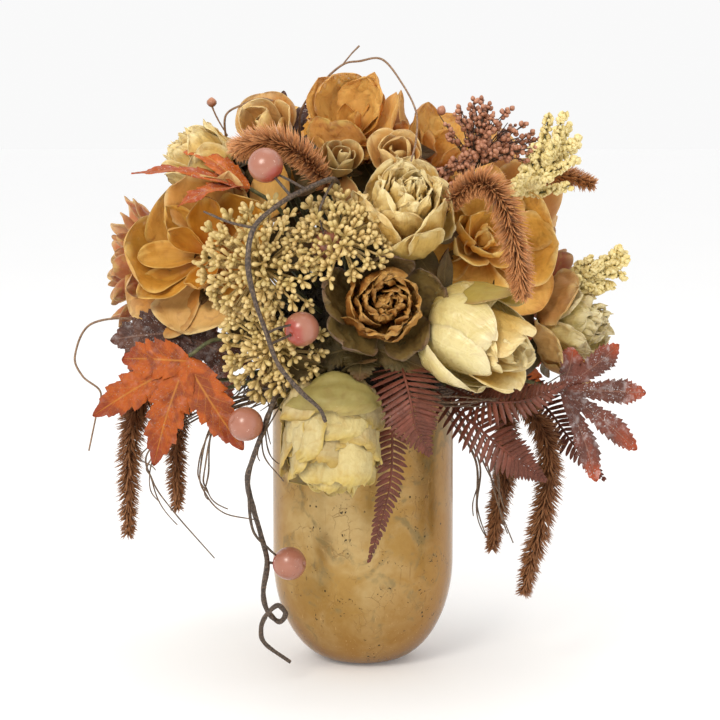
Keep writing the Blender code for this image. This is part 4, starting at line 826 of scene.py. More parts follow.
class Mould:
    """A mesh in the making. Each point carries its growth marks, and each face its finish."""

    def __init__(self, name: str) -> None:
        """Start an empty mesh with random numbers of its own.

        Args:
            name: The name that the random numbers belong to.
        """
        self.chance = chance_for(name)
        self.finishes: list[Finish] = []
        self.points: list[Array] = []
        self.marks: list[Array] = []
        self.faces: list[Array] = []
        self.slots: list[int] = []
        self.total = 0

    def add(self, points: Array, faces: Iterable[Array], marks: Array, finish: Finish) -> None:
        """Add points, marks and faces.

        Args:
            points: A row of three numbers for each point.
            faces: Arrays of faces, each with faces of one number of corners.
            marks: Along, across, chance and depth for each point.
            finish: The finish of the faces.
        """
        if finish not in self.finishes:
            self.finishes.append(finish)
        for group in faces:
            self.faces.append(group + self.total)
            self.slots.append(self.finishes.index(finish))
        self.points.append(points.reshape(-1, 3))
        self.marks.append(np.broadcast_to(marks, (*points.shape[:-1], 4)).reshape(-1, 4))
        self.total += points.size // 3

    def sheet(self, points: Array, along: Array, across: Array, finish: Finish,
              thickness: float = 0.5) -> None:
        """Add a thin sheet with two faces and a rim.

        Args:
            points: Rows and columns of points.
            along: The mark along the sheet for each row.
            across: The mark across the sheet for each column.
            finish: The finish of the sheet.
            thickness: How thick the sheet is in its middle.
        """
        rows, columns = points.shape[:2]
        normals = unit(np.cross(np.gradient(points, axis=1), np.gradient(points, axis=0)))
        side = np.abs(across * 2 - 1)[None] ** 6
        half = thickness / 2 * (1 - 0.65 * np.maximum(side, along[:, None] ** 8))[..., None]
        pair = np.stack([points + normals * half, points - normals * half])
        marks = growth(along[:, None], across, self.chance.random(), np.array((0.0, 1.0))[:, None, None])
        front = grid_faces(rows, columns)
        index = np.arange(rows * columns).reshape(rows, columns)
        edge = np.concatenate([index[0], index[1:, -1], index[-1, -2::-1], index[-2:0:-1, 0]])
        after = np.roll(edge, -1)
        count = rows * columns
        rim = np.stack([after, edge, edge + count, after + count], -1)
        self.add(pair, (front, front[:, ::-1] + count, rim), marks, finish)

    def tube(self, path: Array, radii: Sequence[float] | Array, sides: int, finish: Finish,
             ridges: float = 0.0) -> None:
        """Add a closed tube along a path.

        Args:
            path: The points along the middle.
            radii: Radii that are spread over the length.
            sides: How many points go around.
            finish: The finish of the tube.
            ridges: How deep the ridges of its bark are, as a share of its radius.
        """
        _, sideways, other = path_frames(path)
        share = np.linspace(0, 1, len(path))
        turns = np.arange(sides) * 2 * math.pi / sides
        radius = read(radii, share)[:, None] * np.ones(sides)
        if ridges:
            twist = turns + share[:, None] * 5
            knots = read(self.chance.uniform(-0.8, 1.2, 3 + len(path) // 12), share)[:, None]
            radius *= 1 + ridges * (np.sin(3 * twist) * 0.6 + np.sin(5 * twist + 9 * share[:, None]) * 0.6
                                    + knots + self.chance.uniform(-0.3, 0.3, radius.shape))
        points = (path[:, None] + sideways[:, None] * (np.cos(turns) * radius)[..., None]
                  + other[:, None] * (np.sin(turns) * radius)[..., None])
        along = share[:, None] * (length_of(path) / 30 if ridges else 1.0)
        marks = growth(along, turns / (2 * math.pi), self.chance.random())
        self.add(points, tube_faces(len(path), sides), marks, finish)

    def stamp(self, form: Form, places: Array, pointing: Array, leaning: Array, sizes: Array,
              finish: Finish, depth: Array | float = 0.0) -> None:
        """Add many copies of a form.

        Args:
            form: The form to copy.
            places: Where the foot of each copy stands.
            pointing: The direction of each copy.
            leaning: The side to which each copy bends.
            sizes: The width and the length of each copy.
            finish: The finish of the copies.
            depth: The depth mark of each copy, which foxtails and heather use for painted light and shade.
        """
        up = unit(pointing)
        ahead = unit(leaning - up * (leaning * up).sum(-1, keepdims=True))
        frames = np.stack([ahead, np.cross(up, ahead), up], -1)
        scaled = form.points[None] * np.stack([sizes[:, 0], sizes[:, 0], sizes[:, 1]], -1)[:, None]
        points = places[:, None] + np.einsum("mij,mnj->mni", frames, scaled)
        marks = growth(form.along, form.across, self.chance.random(len(places))[:, None],
                       np.broadcast_to(depth, len(places))[:, None])
        shift = (np.arange(len(places)) * len(form.points))[:, None, None]
        faces = [(group + shift).reshape(-1, group.shape[1]) for group in form.faces]
        self.add(points, faces, marks, finish)

    def cast(self, name: str, sharp: float = 50.0) -> bpy.types.Object:
        """Make the object, in metres.

        Args:
            name: The name of the object.
            sharp: The angle in degrees from which an edge between two faces stays sharp.

        Returns:
            The object.
        """
        mesh = bpy.data.meshes.new(name)
        points = np.concatenate(self.points) * METRES
        mesh.vertices.add(len(points))
        mesh.vertices.foreach_set("co", points.ravel())
        corners = np.concatenate([group.ravel() for group in self.faces])
        mesh.loops.add(len(corners))
        mesh.loops.foreach_set("vertex_index", corners.astype(np.int32))
        sizes = np.concatenate([np.full(len(group), group.shape[1]) for group in self.faces])
        mesh.polygons.add(len(sizes))
        mesh.polygons.foreach_set("loop_start", (np.cumsum(sizes) - sizes).astype(np.int32))
        slots = np.concatenate([np.full(len(group), slot) for group, slot in zip(self.faces, self.slots)])
        mesh.polygons.foreach_set("material_index", slots.astype(np.int32))
        mesh.polygons.foreach_set("use_smooth", np.ones(len(sizes), bool))
        mesh.update(calc_edges=True)
        layer = mesh.attributes.new("growth", "FLOAT_COLOR", "POINT")
        layer.data.foreach_set("color", np.concatenate(self.marks).astype(np.float32).ravel())
        for finish in self.finishes:
            mesh.materials.append(finish.material())
        mesh.set_sharp_from_angle(angle=math.radians(sharp))
        item = bpy.data.objects.new(name, mesh)
        bpy.context.scene.collection.objects.link(item)
        return item


STEM_ROOT = 27.0
STEM_SPACING = 7.5
STEM_OUTSIDE = 51.0
STEM_ONE_BEND = 12.0
STEM_TWO_BENDS = 38.0
STEM_ROUNDS = 12
SPREAD_ROUNDS = 80
FOAM_LOWEST_STEM = 164.0
FOAM_DOME_CENTRE = 176.0


@dataclass
class Piece:
    """A plant piece whose stem stands in the foam. The stem has a radius and a finish."""

    stem_radius = 1.1
    stem_finish = Finish.STALK
    name: str

    def anchor(self) -> Array:
        """Return where the stem meets the head."""
        raise NotImplementedError

    def heading(self) -> Array:
        """Return the direction in which the stem meets the head."""
        raise NotImplementedError

    def grow(self, mould: Mould) -> None:
        """Add everything but the stem to a mould."""
        raise NotImplementedError


@dataclass
class Trail(Piece):
    """A piece that grows along a path from the end of its stem."""

    path: tuple[Triple, ...]

    def anchor(self) -> Array:
        """Return where the path starts."""
        return np.array(self.path[0], float)

    def heading(self) -> Array:
        """Return the direction in which the path starts."""
        return unit(np.array(self.path[1], float) - np.array(self.path[0]))


@dataclass
class Stem:
    """The stem of a piece, from its root in the foam to its head."""

    piece: Piece
    root: Array = field(init=False)

    def __post_init__(self) -> None:
        """Place the root straight below the anchor."""
        level = UP * max(FOAM_LOWEST_STEM, min(self.piece.anchor()[2], FOAM_DOME_CENTRE))
        self.root = level + unit(self.piece.anchor() - level) * STEM_ROOT

    def level(self) -> Array:
        """Return the point on the axis of the foam that the root stands away from."""
        return UP * min(self.root[2], FOAM_DOME_CENTRE)

    def settle(self) -> None:
        """Bring the root back to its depth in the foam after it was pushed aside."""
        self.root[2] = max(self.root[2], FOAM_LOWEST_STEM)
        self.root = self.level() + unit(self.root - self.level()) * STEM_ROOT

    def course(self, balls: Sequence[tuple[str, Array, float]]) -> Array:
        """Lay the stem straight out of the foam and around the other heads.

        Args:
            balls: The name, centre and radius of each head.

        Returns:
            The points along the stem.
        """
        anchor, radius = self.piece.anchor(), self.piece.stem_radius
        straight = unit(self.root - self.level())
        outside = self.level() + straight * STEM_OUTSIDE
        reach = float(np.linalg.norm(anchor - outside))
        shares = (0.33, 0.67) if reach > STEM_TWO_BENDS else (0.5,) if reach > STEM_ONE_BEND else ()
        course = [outside * (2 * t ** 3 - 3 * t ** 2 + 1) + straight * reach * (t ** 3 - 2 * t ** 2 + t)
                  + anchor * (3 * t ** 2 - 2 * t ** 3) + self.piece.heading() * reach * (t ** 3 - t ** 2)
                  for t in shares]
        for _ in range(STEM_ROUNDS):
            for index, point in enumerate(course):
                for name, centre, size in balls:
                    away = point - centre
                    room = size + radius + 1.0 - np.linalg.norm(away)
                    inside = min(np.linalg.norm(anchor - centre), np.linalg.norm(outside - centre)) < size
                    if name != self.piece.name and room > 0 and not inside:
                        course[index] = point + unit(away) * room * 0.5
        return smooth_path([self.root, outside, *course, anchor], 8 * (len(course) + 2))


def spread(stems: Sequence[Stem]) -> None:
    """Push the roots of all stems apart, so that every stem has its own hole.

    Args:
        stems: The stems.
    """
    for _ in range(SPREAD_ROUNDS):
        for index, stem in enumerate(stems):
            for other in stems[:index]:
                gap = stem.root - other.root
                length = float(np.linalg.norm(gap))
                if length < STEM_SPACING:
                    push = unit(gap) * (STEM_SPACING - length) * 0.5
                    stem.root = stem.root + push
                    other.root = other.root - push
        for stem in stems:
            stem.settle()


@dataclass(frozen=True)
class PetalForm:
    """The form of a petal, for a bloom of size 1. Angles are in degrees.

    The leans are how far the petal leans away from the axis of its bloom from base to tip. It is
    widest at the share named, and its tip runs from 1, round, to 2, pointed. Cup bends it around
    the axis, and curl rolls its edges outward.
    """

    length: float
    width: float
    leans: tuple[float, ...]
    widest: float = 0.62
    base: float = 0.35
    tip: float = 1.15
    cup: float = 60.0
    curl: float = 20.0
    tuck: float = 0.12
    ruffle: float = 0.04
    crumple: float = 0.02
    ragged: float = 0.0
    rows: int = 26
    columns: int = 17

    def grow(self, size: float, start: float, lift: float, chance: np.random.Generator) -> tuple[Array, ...]:
        """Grow a petal that leans out along X, for a bloom whose axis is Z.

        Args:
            size: The size of the bloom.
            start: How far from the axis the petal starts.
            lift: How high it starts.
            chance: Where its small differences come from.

        Returns:
            The points, and the marks along its rows and across its columns.
        """
        along = 1 - (1 - np.linspace(0, 1, self.rows)) ** 1.6
        side = np.linspace(-1, 1, self.columns)
        fine = np.linspace(0, 1, 81)
        lean = np.radians(read(self.leans, fine) + chance.uniform(-8, 8) * fine + chance.uniform(-4, 4))
        steps = np.stack([np.sin(lean), np.cos(lean)], -1) * self.length * size / (len(fine) - 1)
        line = np.vstack([np.zeros(2), np.cumsum((steps[1:] + steps[:-1]) / 2, axis=0)])
        x = np.interp(along, fine, line[:, 0]) + start
        z = np.interp(along, fine, line[:, 1]) + lift
        lean = np.interp(along, fine, lean)[:, None]
        rise = np.clip(along / self.widest, 0, 1)
        fall = np.clip((along - self.widest) / (1 - self.widest), 0, 1)
        outline = (self.base + (1 - self.base) * np.sin(rise * math.pi / 2) ** 1.3)
        outline = outline * np.maximum(1 - fall ** 2, 0.003) ** (self.tip / 2)
        half = (self.width * size / 2 * outline)[:, None]
        roll = (along ** 1.2 * (1 - 0.6 * along ** 8))[:, None]
        bend = np.radians(self.cup * chance.uniform(0.85, 1.15)) * (1 - 0.35 * along)[:, None] * side
        bend -= np.radians(self.curl * chance.uniform(0.6, 1.2)) * roll * np.sign(side) * np.abs(side) ** 3
        across, inward = (self.run(wave) * half for wave in (np.cos(bend), np.sin(bend)))
        inward = inward + half * (self.tuck + chance.uniform(-0.05, 0.08)) * side
        free = size * np.minimum(1, 1.5 * outline * np.minimum(1, along * 2))[:, None]
        wave = np.sin(along[:, None] * chance.uniform(6, 12) + side * 2 + chance.uniform(0, 6))
        inward += self.ruffle * free * wave * np.abs(side) ** 3 * along[:, None]
        wave = np.sin(side * chance.uniform(3, 6) + chance.uniform(0, 6))
        inward += self.ruffle * free * wave * along[:, None] ** 4
        inward += self.crumple * free * (folds(along[:, None], side[None], chance)
                                         + 0.4 * folds(along[:, None] * 2, side[None] * 2, chance, 7.0))
        notch = np.cumsum(chance.normal(0, 1, self.columns))
        cut = self.ragged * size * (notch - notch.mean()) / (abs(notch).max() + 1) * along[:, None] ** 5
        points = np.stack([x[:, None] - np.cos(lean) * inward + np.sin(lean) * cut,
                           across + chance.uniform(-0.06, 0.06) * size * along[:, None] ** 2,
                           z[:, None] + np.sin(lean) * inward + np.cos(lean) * cut], -1)
        return points, along, (side + 1) / 2

    def towards(self, other: "PetalForm", share: float) -> "PetalForm":
        """Blend this form with another.

        Args:
            other: The other form.
            share: How much of the other there is, from 0 to 1.

        Returns:
            The form between them.
        """
        pairs = ((part.name, getattr(self, part.name), getattr(other, part.name)) for part in fields(self))
        return PetalForm(**{name: type(low)(np.add(low, np.subtract(high, low) * share))
                            for name, low, high in pairs})

    def run(self, values: Array) -> Array:
        """Add up values across the petal, starting from its middle.

        Args:
            values: Rows and columns of values.

        Returns:
            The sum at each place, which is zero in the middle column.
        """
        total = np.cumsum((values[:, 1:] + values[:, :-1]) / 2, axis=1)
        total = np.hstack([np.zeros((self.rows, 1)), total]) * 2 / (self.columns - 1)
        return total - total[:, self.columns // 2, None]


@dataclass(frozen=True)
class Petal:
    """One petal of a bloom of size 1: its turn around the axis in degrees, and where it starts.

    The layer says which of the bloom's finishes it has.
    """

    turn: float
    form: PetalForm
    start: float
    lift: float
    layer: int


def petal(turn: float, length: float, width: float, leans: tuple[float, ...], start: float, lift: float,
          layer: int = 0, **shape: float) -> Petal:
    """Return a single petal; the shape names what else its form differs in."""
    return Petal(turn, PetalForm(length, width, leans, **shape), start, lift, layer)


def ring(count: int, start: float, lift: float, form: PetalForm, layer: int = 0,
         turn: float = 0.0) -> tuple[Petal, ...]:
    """Return a ring of equal petals, the first of them at the turn."""
    return tuple(Petal(turn + 360 * index / count, form, start, lift, layer) for index in range(count))


def whorl(count: int, inner: PetalForm, outer: PetalForm, start: float = 0.14, lift: float = 0.26,
          layer: int = 0) -> tuple[Petal, ...]:
    """Return petals that wind outward.

    Args:
        count: How many there are.
        inner: The form of the first petal, at the middle.
        outer: The form of the last petal.
        start: How far from the axis the last petal starts.
        lift: How high the first petal starts.
        layer: Which of the bloom's finishes they have.

    Returns:
        The petals, from the middle outward.
    """
    return tuple(Petal(GOLDEN_DEGREES * rank, inner.towards(outer, share), start * (0.25 + 0.75 * share),
                       lift * (1 - share), layer)
                 for rank, share in enumerate(np.linspace(0, 1, count)))


PAPERY = {"ruffle": 0.06, "crumple": 0.07, "ragged": 0.12, "rows": 24, "columns": 17}
CRUMPLED = {"ruffle": 0.08, "crumple": 0.05, "ragged": 0.16, "rows": 34, "columns": 29}
BELLED = {"tip": 0.3, "cup": 110, **CRUMPLED}
FRILLY = {"ruffle": 0.07, "crumple": 0.04, "ragged": 0.15, "columns": 23}
CREASED = {"ruffle": 0.06, "crumple": 0.06}
SLIM = {"ruffle": 0.05, "crumple": 0.02, "rows": 18, "columns": 9}


class BloomKind(Enum):
    """The kinds of bloom: their depth and their petals, for a bloom of size 1."""

    MAGNOLIA = (1.0, (
        *ring(5, 0.12, 0.0, PetalForm(1.42, 1.12, (84, 66, 42, 20, 10, 20), cup=50, curl=30)),
        *ring(4, 0.10, 0.05, PetalForm(1.22, 0.98, (70, 48, 22, 4, -6, 4), cup=64, curl=26), turn=30),
        *ring(3, 0.08, 0.10, PetalForm(1.02, 0.86, (54, 30, 8, -10, -18, -6), tip=1.3, cup=82)),
        *ring(3, 0.05, 0.14, PetalForm(0.76, 0.62, (34, 14, -4, -18, -24), tip=1.3, cup=105, curl=10),
              turn=50),
    ))
    LEFT_MAGNOLIA = (1.0, (
        petal(30, 1.20, 1.45, (98, 96, 86, 78, 72, 74), 0.12, -0.06, 1, tip=1.5, cup=32),
        petal(80, 0.90, 1.20, (98, 92, 84, 78, 80), 0.12, -0.04, 1, tip=1.4, cup=36, curl=30),
        petal(306, 1.05, 1.30, (92, 80, 62, 46, 34, 28), 0.12, -0.06, 2, cup=46),
        petal(8, 1.10, 1.10, (92, 82, 66, 44, 18, 2), 0.11, 0.0, tip=1.0, cup=64, curl=16),
        petal(248, 1.06, 0.74, (88, 74, 58, 44, 34, 28), 0.1, 0.0, 1, widest=0.45, tip=1.9, cup=44),
        petal(284, 1.12, 0.92, (86, 70, 50, 32, 14, -8), 0.1, 0.03, 1, cup=84, curl=100),
        petal(215, 1.00, 0.90, (86, 68, 48, 28, 20), 0.1, 0.0, cup=56, curl=30),
        petal(150, 1.00, 0.90, (90, 72, 52, 36, 34), 0.1, 0.0, cup=50, curl=30),
        petal(324, 0.84, 0.46, (80, 66, 54, 44, 34), 0.08, 0.04, tip=1.8, cup=64, curl=10),
        petal(10, 0.88, 0.50, (82, 74, 66, 56, 44), 0.08, 0.08, tip=0.9, cup=80, curl=10),
        petal(44, 0.94, 0.54, (84, 76, 66, 56, 46), 0.08, 0.08, tip=1.2, cup=70, curl=10),
        petal(90, 0.80, 0.56, (72, 54, 38, 26), 0.06, 0.08, tip=1.2, cup=84, curl=10),
        petal(270, 0.76, 0.56, (62, 44, 28, 12), 0.06, 0.08, tip=1.2, cup=90),
        petal(190, 0.70, 0.50, (52, 32, 14, 0), 0.05, 0.1, tip=1.2, cup=100, curl=10),
        petal(340, 0.66, 0.44, (58, 42, 26, 10), 0.05, 0.1, tip=1.2, cup=110, curl=10),
    ))
    RIGHT_MAGNOLIA = (1.0, (
        petal(128, 1.18, 1.10, (96, 90, 78, 66, 60), 0.12, -0.04, 1, cup=44),
        petal(166, 1.18, 1.10, (92, 80, 60, 40, 24, 14), 0.12, -0.02, tip=1.0, cup=56),
        petal(204, 1.18, 1.10, (90, 74, 54, 34, 16, 4), 0.12, 0.0, tip=1.0, cup=58),
        petal(248, 1.12, 1.10, (90, 72, 50, 30, 14, 2), 0.12, 0.0, cup=58),
        petal(292, 1.08, 1.25, (90, 74, 54, 36, 22, 10), 0.12, 0.0, cup=58),
        petal(14, 0.86, 0.86, (92, 80, 64, 48, 44), 0.12, -0.02, tip=1.6, cup=50),
        petal(65, 1.05, 1.10, (94, 84, 68, 52, 44), 0.12, -0.02, cup=46, curl=30),
        petal(320, 0.76, 0.84, (48, 32, 20, 12, 8), 0.06, 0.06, widest=0.4, tip=1.9, cup=60, curl=10),
        petal(345, 0.80, 0.60, (62, 44, 30, 20, 14), 0.07, 0.04, tip=1.5, cup=110, curl=10),
        petal(225, 0.80, 0.74, (60, 42, 28, 18, 14), 0.07, 0.04, widest=0.45, tip=1.9, cup=64, curl=10),
        petal(30, 0.80, 0.72, (62, 46, 34, 30), 0.07, 0.04, tip=1.4, cup=70),
        petal(150, 0.84, 0.80, (66, 48, 34, 26), 0.07, 0.04, tip=1.4, cup=70),
        petal(80, 0.70, 0.60, (44, 26, 12, 4), 0.05, 0.08, tip=1.6, cup=90, curl=10),
        *ring(3, 0.03, 0.1, PetalForm(0.5, 0.5, (24, 8, -6, -14), tip=1.3, cup=120, curl=60), turn=20),
    ))
    TOP_MAGNOLIA = (1.0, (
        petal(324, 1.22, 0.90, (86, 62, 32, 12, 2), 0.1, 0.0, cup=60, curl=30),
        petal(290, 1.30, 1.15, (70, 46, 24, 8, -6, -4), 0.08, 0.03, tip=0.8, cup=68, curl=24, crumple=0.06),
        petal(222, 1.36, 0.84, (66, 46, 28, 16, 8, 6), 0.08, 0.03, widest=0.5, tip=1.9, cup=70,
              crumple=0.05),
        petal(244, 1.06, 0.86, (62, 42, 24, 10, 0), 0.07, 0.06, tip=1.0, cup=92, curl=60, crumple=0.05),
        petal(184, 1.40, 1.00, (82, 64, 44, 28, 16, 10), 0.1, 0.0, tip=1.3, cup=58, curl=30),
        petal(74, 1.08, 1.15, (92, 58, 14, -12, -16, 8), 0.12, 0.0, 1, tip=0.8, cup=64, curl=30, **CREASED),
        petal(116, 0.84, 1.10, (98, 90, 70, 48, 40), 0.1, -0.03, 1, cup=50, curl=30, **CREASED),
        petal(152, 1.15, 1.00, (98, 84, 60, 40, 30), 0.1, -0.03, 1, cup=54, curl=30, **CREASED),
        petal(10, 0.84, 1.00, (94, 76, 48, 26, 14), 0.1, -0.02, cup=54, curl=30, **CREASED),
        petal(270, 0.62, 0.50, (30, 14, 4, -4), 0.05, 0.08, tip=1.3, cup=110),
        petal(190, 0.56, 0.44, (34, 20, 8, -4), 0.05, 0.08, tip=1.3, cup=110),
    ))
    TOP_RIGHT_MAGNOLIA = (1.0, (
        petal(292, 1.45, 1.15, (86, 68, 46, 28, 14, 6), 0.1, 0.0, widest=0.5, tip=1.7, cup=54),
        petal(248, 1.25, 1.15, (72, 50, 30, 16, 8), 0.09, 0.0, widest=0.5, tip=1.5, cup=60, **CREASED),
        petal(205, 1.25, 1.05, (76, 54, 34, 22, 18), 0.09, 0.0, cup=58, curl=30, **CREASED),
        petal(165, 1.35, 1.00, (86, 68, 50, 40, 44), 0.1, 0.0, tip=1.5, cup=50, curl=30),
        petal(120, 1.25, 0.90, (90, 74, 60, 52, 58), 0.1, 0.0, tip=1.5, cup=50, curl=30),
        petal(82, 1.05, 0.95, (96, 84, 66, 52, 50), 0.1, -0.02, 1, tip=1.5, cup=54, curl=40, **CREASED),
        petal(40, 0.86, 1.05, (96, 84, 60, 34, 20), 0.1, -0.02, 1, cup=54, curl=30, **CREASED),
        petal(2, 0.86, 1.10, (94, 80, 54, 28, 16), 0.1, 0.0, 1, cup=54, curl=30, **CREASED),
        petal(320, 0.74, 0.62, (50, 30, 14, 4), 0.06, 0.06, tip=1.5, cup=100, curl=30),
        petal(220, 0.70, 0.60, (46, 26, 10, 0), 0.06, 0.06, tip=1.3, cup=100),
        petal(110, 0.66, 0.56, (50, 30, 16, 8), 0.06, 0.06, tip=1.5, cup=100),
    ))
    GLOBE_ROSE = (1.5, (
        *ring(4, 0.14, -0.02,
              PetalForm(1.95, 1.45, (94, 84, 52, 14, -8, -2, 40), tip=0.9, cup=50, curl=60, **PAPERY)),
        *whorl(30, PetalForm(1.40, 0.42, (16, 4, -2, -3, -4, -2, 4), cup=125, curl=14, **PAPERY),
               PetalForm(2.00, 1.36, (92, 76, 34, 2, -14, -8, 26), tip=0.9, cup=56, curl=56, **PAPERY)),
    ))
    LONG_ROSE = (2.1, (
        petal(235, 1.45, 1.75, (98, 92, 60, 22, 6, 0), 0.2, -0.02, tip=0.8, cup=70, curl=10, **PAPERY),
        petal(320, 1.20, 1.60, (98, 92, 56, 20, 6, 6), 0.2, 0.0, tip=1.2, cup=70, curl=10, **PAPERY),
        petal(90, 1.40, 2.30, (98, 92, 58, 22, 8, 4), 0.2, 0.0, tip=0.9, cup=80, curl=14, **PAPERY),
        *ring(3, 0.16, 0.0, PetalForm(1.46, 2.5, (94, 80, 30, 6, 12), **BELLED), 1, 40),
        *ring(4, 0.15, 0.0, PetalForm(1.70, 2.1, (92, 76, 24, 2, 2, 16), **BELLED), 1, 100),
        *ring(4, 0.14, 0.0, PetalForm(1.93, 2.0, (92, 72, 20, 0, 0, 14), **BELLED), 1, 60),
        *ring(4, 0.13, 0.0, PetalForm(2.16, 2.0, (90, 64, 14, 0, -2, 10), **BELLED), 1, 20),
        *ring(4, 0.12, 0.0, PetalForm(2.38, 1.9, (88, 56, 10, -2, -4, 6), **BELLED), 1, 85),
        *whorl(9, PetalForm(2.0, 0.7, (40, 10, 0, -2, -4, -8), tip=0.6, cup=110, **CRUMPLED),
               PetalForm(2.3, 1.6, (74, 40, 6, -4, -6, -4), tip=0.5, cup=90, **CRUMPLED), 0.1, 0.2, 1),
    ))
    OPEN_ROSE = (1.2, (
        petal(180, 1.75, 1.30, (94, 84, 58, 36, 22, 30), 0.14, 0.0, 1, cup=44, curl=50, **PAPERY),
        petal(250, 1.70, 1.50, (92, 78, 44, 18, 4, 24), 0.14, 0.0, 1, cup=48, curl=60, **PAPERY),
        petal(322, 1.78, 1.30, (94, 82, 56, 38, 34, 50), 0.14, 0.0, 1, cup=40, curl=50, **PAPERY),
        petal(20, 1.75, 1.35, (94, 82, 54, 32, 24, 36), 0.14, 0.0, 1, cup=44, curl=50, **PAPERY),
        petal(105, 1.60, 1.30, (94, 82, 52, 32, 30, 60), 0.14, 0.0, 1, cup=44, curl=50, **PAPERY),
        *whorl(30, PetalForm(1.15, 0.34, (14, 2, -2, -4, -4, 0), cup=125, curl=14, **PAPERY),
               PetalForm(1.55, 1.20, (90, 72, 34, 0, -10, 8), tip=1.0, cup=58, curl=50, **PAPERY)),
    ))
    TULIP = (1.9, (
        petal(300, 1.72, 2.10, (94, 76, 34, 6, 0, -4), 0.16, -0.03, tip=0.4, cup=96, curl=0, **FRILLY),
        petal(262, 2.15, 1.80, (92, 66, 26, 8, 6, 14), 0.15, 0.0, 2, tip=1.0, cup=70, curl=10),
        petal(338, 2.20, 1.60, (90, 60, 18, -4, -14, -10), 0.12, 0.02, widest=0.55, tip=0.9, cup=84, curl=0,
              ragged=0.12, rows=34, columns=25),
        petal(28, 2.25, 1.70, (90, 62, 20, -2, -14, -8), 0.12, 0.0, widest=0.55, tip=1.1, cup=84, curl=0),
        petal(72, 2.00, 2.40, (94, 76, 32, 4, -6, -4), 0.17, -0.04, tip=0.6, cup=90, curl=0, **FRILLY),
        petal(130, 2.05, 1.80, (92, 66, 22, -2, -12, -4), 0.14, 0.0, tip=0.9, cup=84, curl=10),
        petal(200, 2.10, 1.70, (92, 66, 24, 0, -8, 0), 0.14, 0.0, tip=0.9, cup=84, curl=10),
        *ring(4, 0.09, 0.1,
              PetalForm(2.1, 1.3, (66, 30, 4, -6, -10, 6), tip=0.7, cup=100, curl=60, **FRILLY), 1, 10),
        *ring(4, 0.05, 0.2,
              PetalForm(1.8, 0.8, (36, 10, -4, -6, 2), tip=0.8, cup=110, curl=60, **FRILLY), 1, 50),
    ))
    FRINGED = (1.0, (
        *ring(9, 0.16, 0.0, PetalForm(1.30, 0.56, (86, 58, 34, 34, 62), tip=1.2, cup=44, curl=30, **SLIM)),
        *ring(9, 0.13, 0.06, PetalForm(1.15, 0.50, (76, 40, 18, 20, 44), tip=1.2, cup=48, **SLIM), turn=20),
        *ring(7, 0.10, 0.12, PetalForm(0.95, 0.42, (58, 26, 8, 4, 20), tip=1.2, cup=54, curl=10, **SLIM)),
        *ring(6, 0.06, 0.16, PetalForm(0.72, 0.30, (34, 12, 2, -4), tip=1.3, cup=60, curl=0, **SLIM),
              turn=30),
    ))
    ROLLED = (1.3, (
        petal(95, 1.9, 1.4, (98, 104, 108, 112, 120), 0.14, -0.04, 1, tip=1.3, cup=50, curl=30,
              ruffle=0.06),
        petal(290, 1.75, 1.9, (88, 64, 30, 20, 26, 56), 0.12, -0.02, tip=0.9, cup=80, curl=70, ruffle=0.06),
        petal(215, 1.80, 1.7, (86, 60, 26, 14, 20, 44), 0.12, 0.0, tip=0.9, cup=90, curl=60, ruffle=0.06),
        petal(60, 1.55, 1.8, (88, 66, 34, 22, 30, 60), 0.12, -0.02, tip=0.8, cup=80, curl=70, ruffle=0.06),
        petal(140, 1.70, 1.8, (84, 52, 18, 8, 14, 34), 0.1, 0.0, tip=0.7, cup=110, curl=50),
        petal(330, 1.70, 2.0, (80, 42, 10, 2, 6, 22), 0.08, 0.02, tip=0.5, cup=130, curl=30),
        petal(200, 1.60, 1.9, (64, 26, 4, 0, 2, 10), 0.06, 0.06, tip=0.5, cup=150, curl=10),
        petal(20, 1.30, 1.2, (40, 10, 0, -2, 0, 4), 0.04, 0.1, tip=0.5, cup=160, curl=0),
    ))


SEPAL = PetalForm(0.62, 0.24, (90, 74, 50, 60), 0.35, tip=1.8, cup=25, curl=0, rows=12, columns=7)
COLLAR = PetalForm(1.25, 0.62, (80, 98, 108, 104, 90), 0.45, base=0.12, tip=1.7, cup=20, curl=0, ruffle=0.06,
                   rows=22, columns=11)


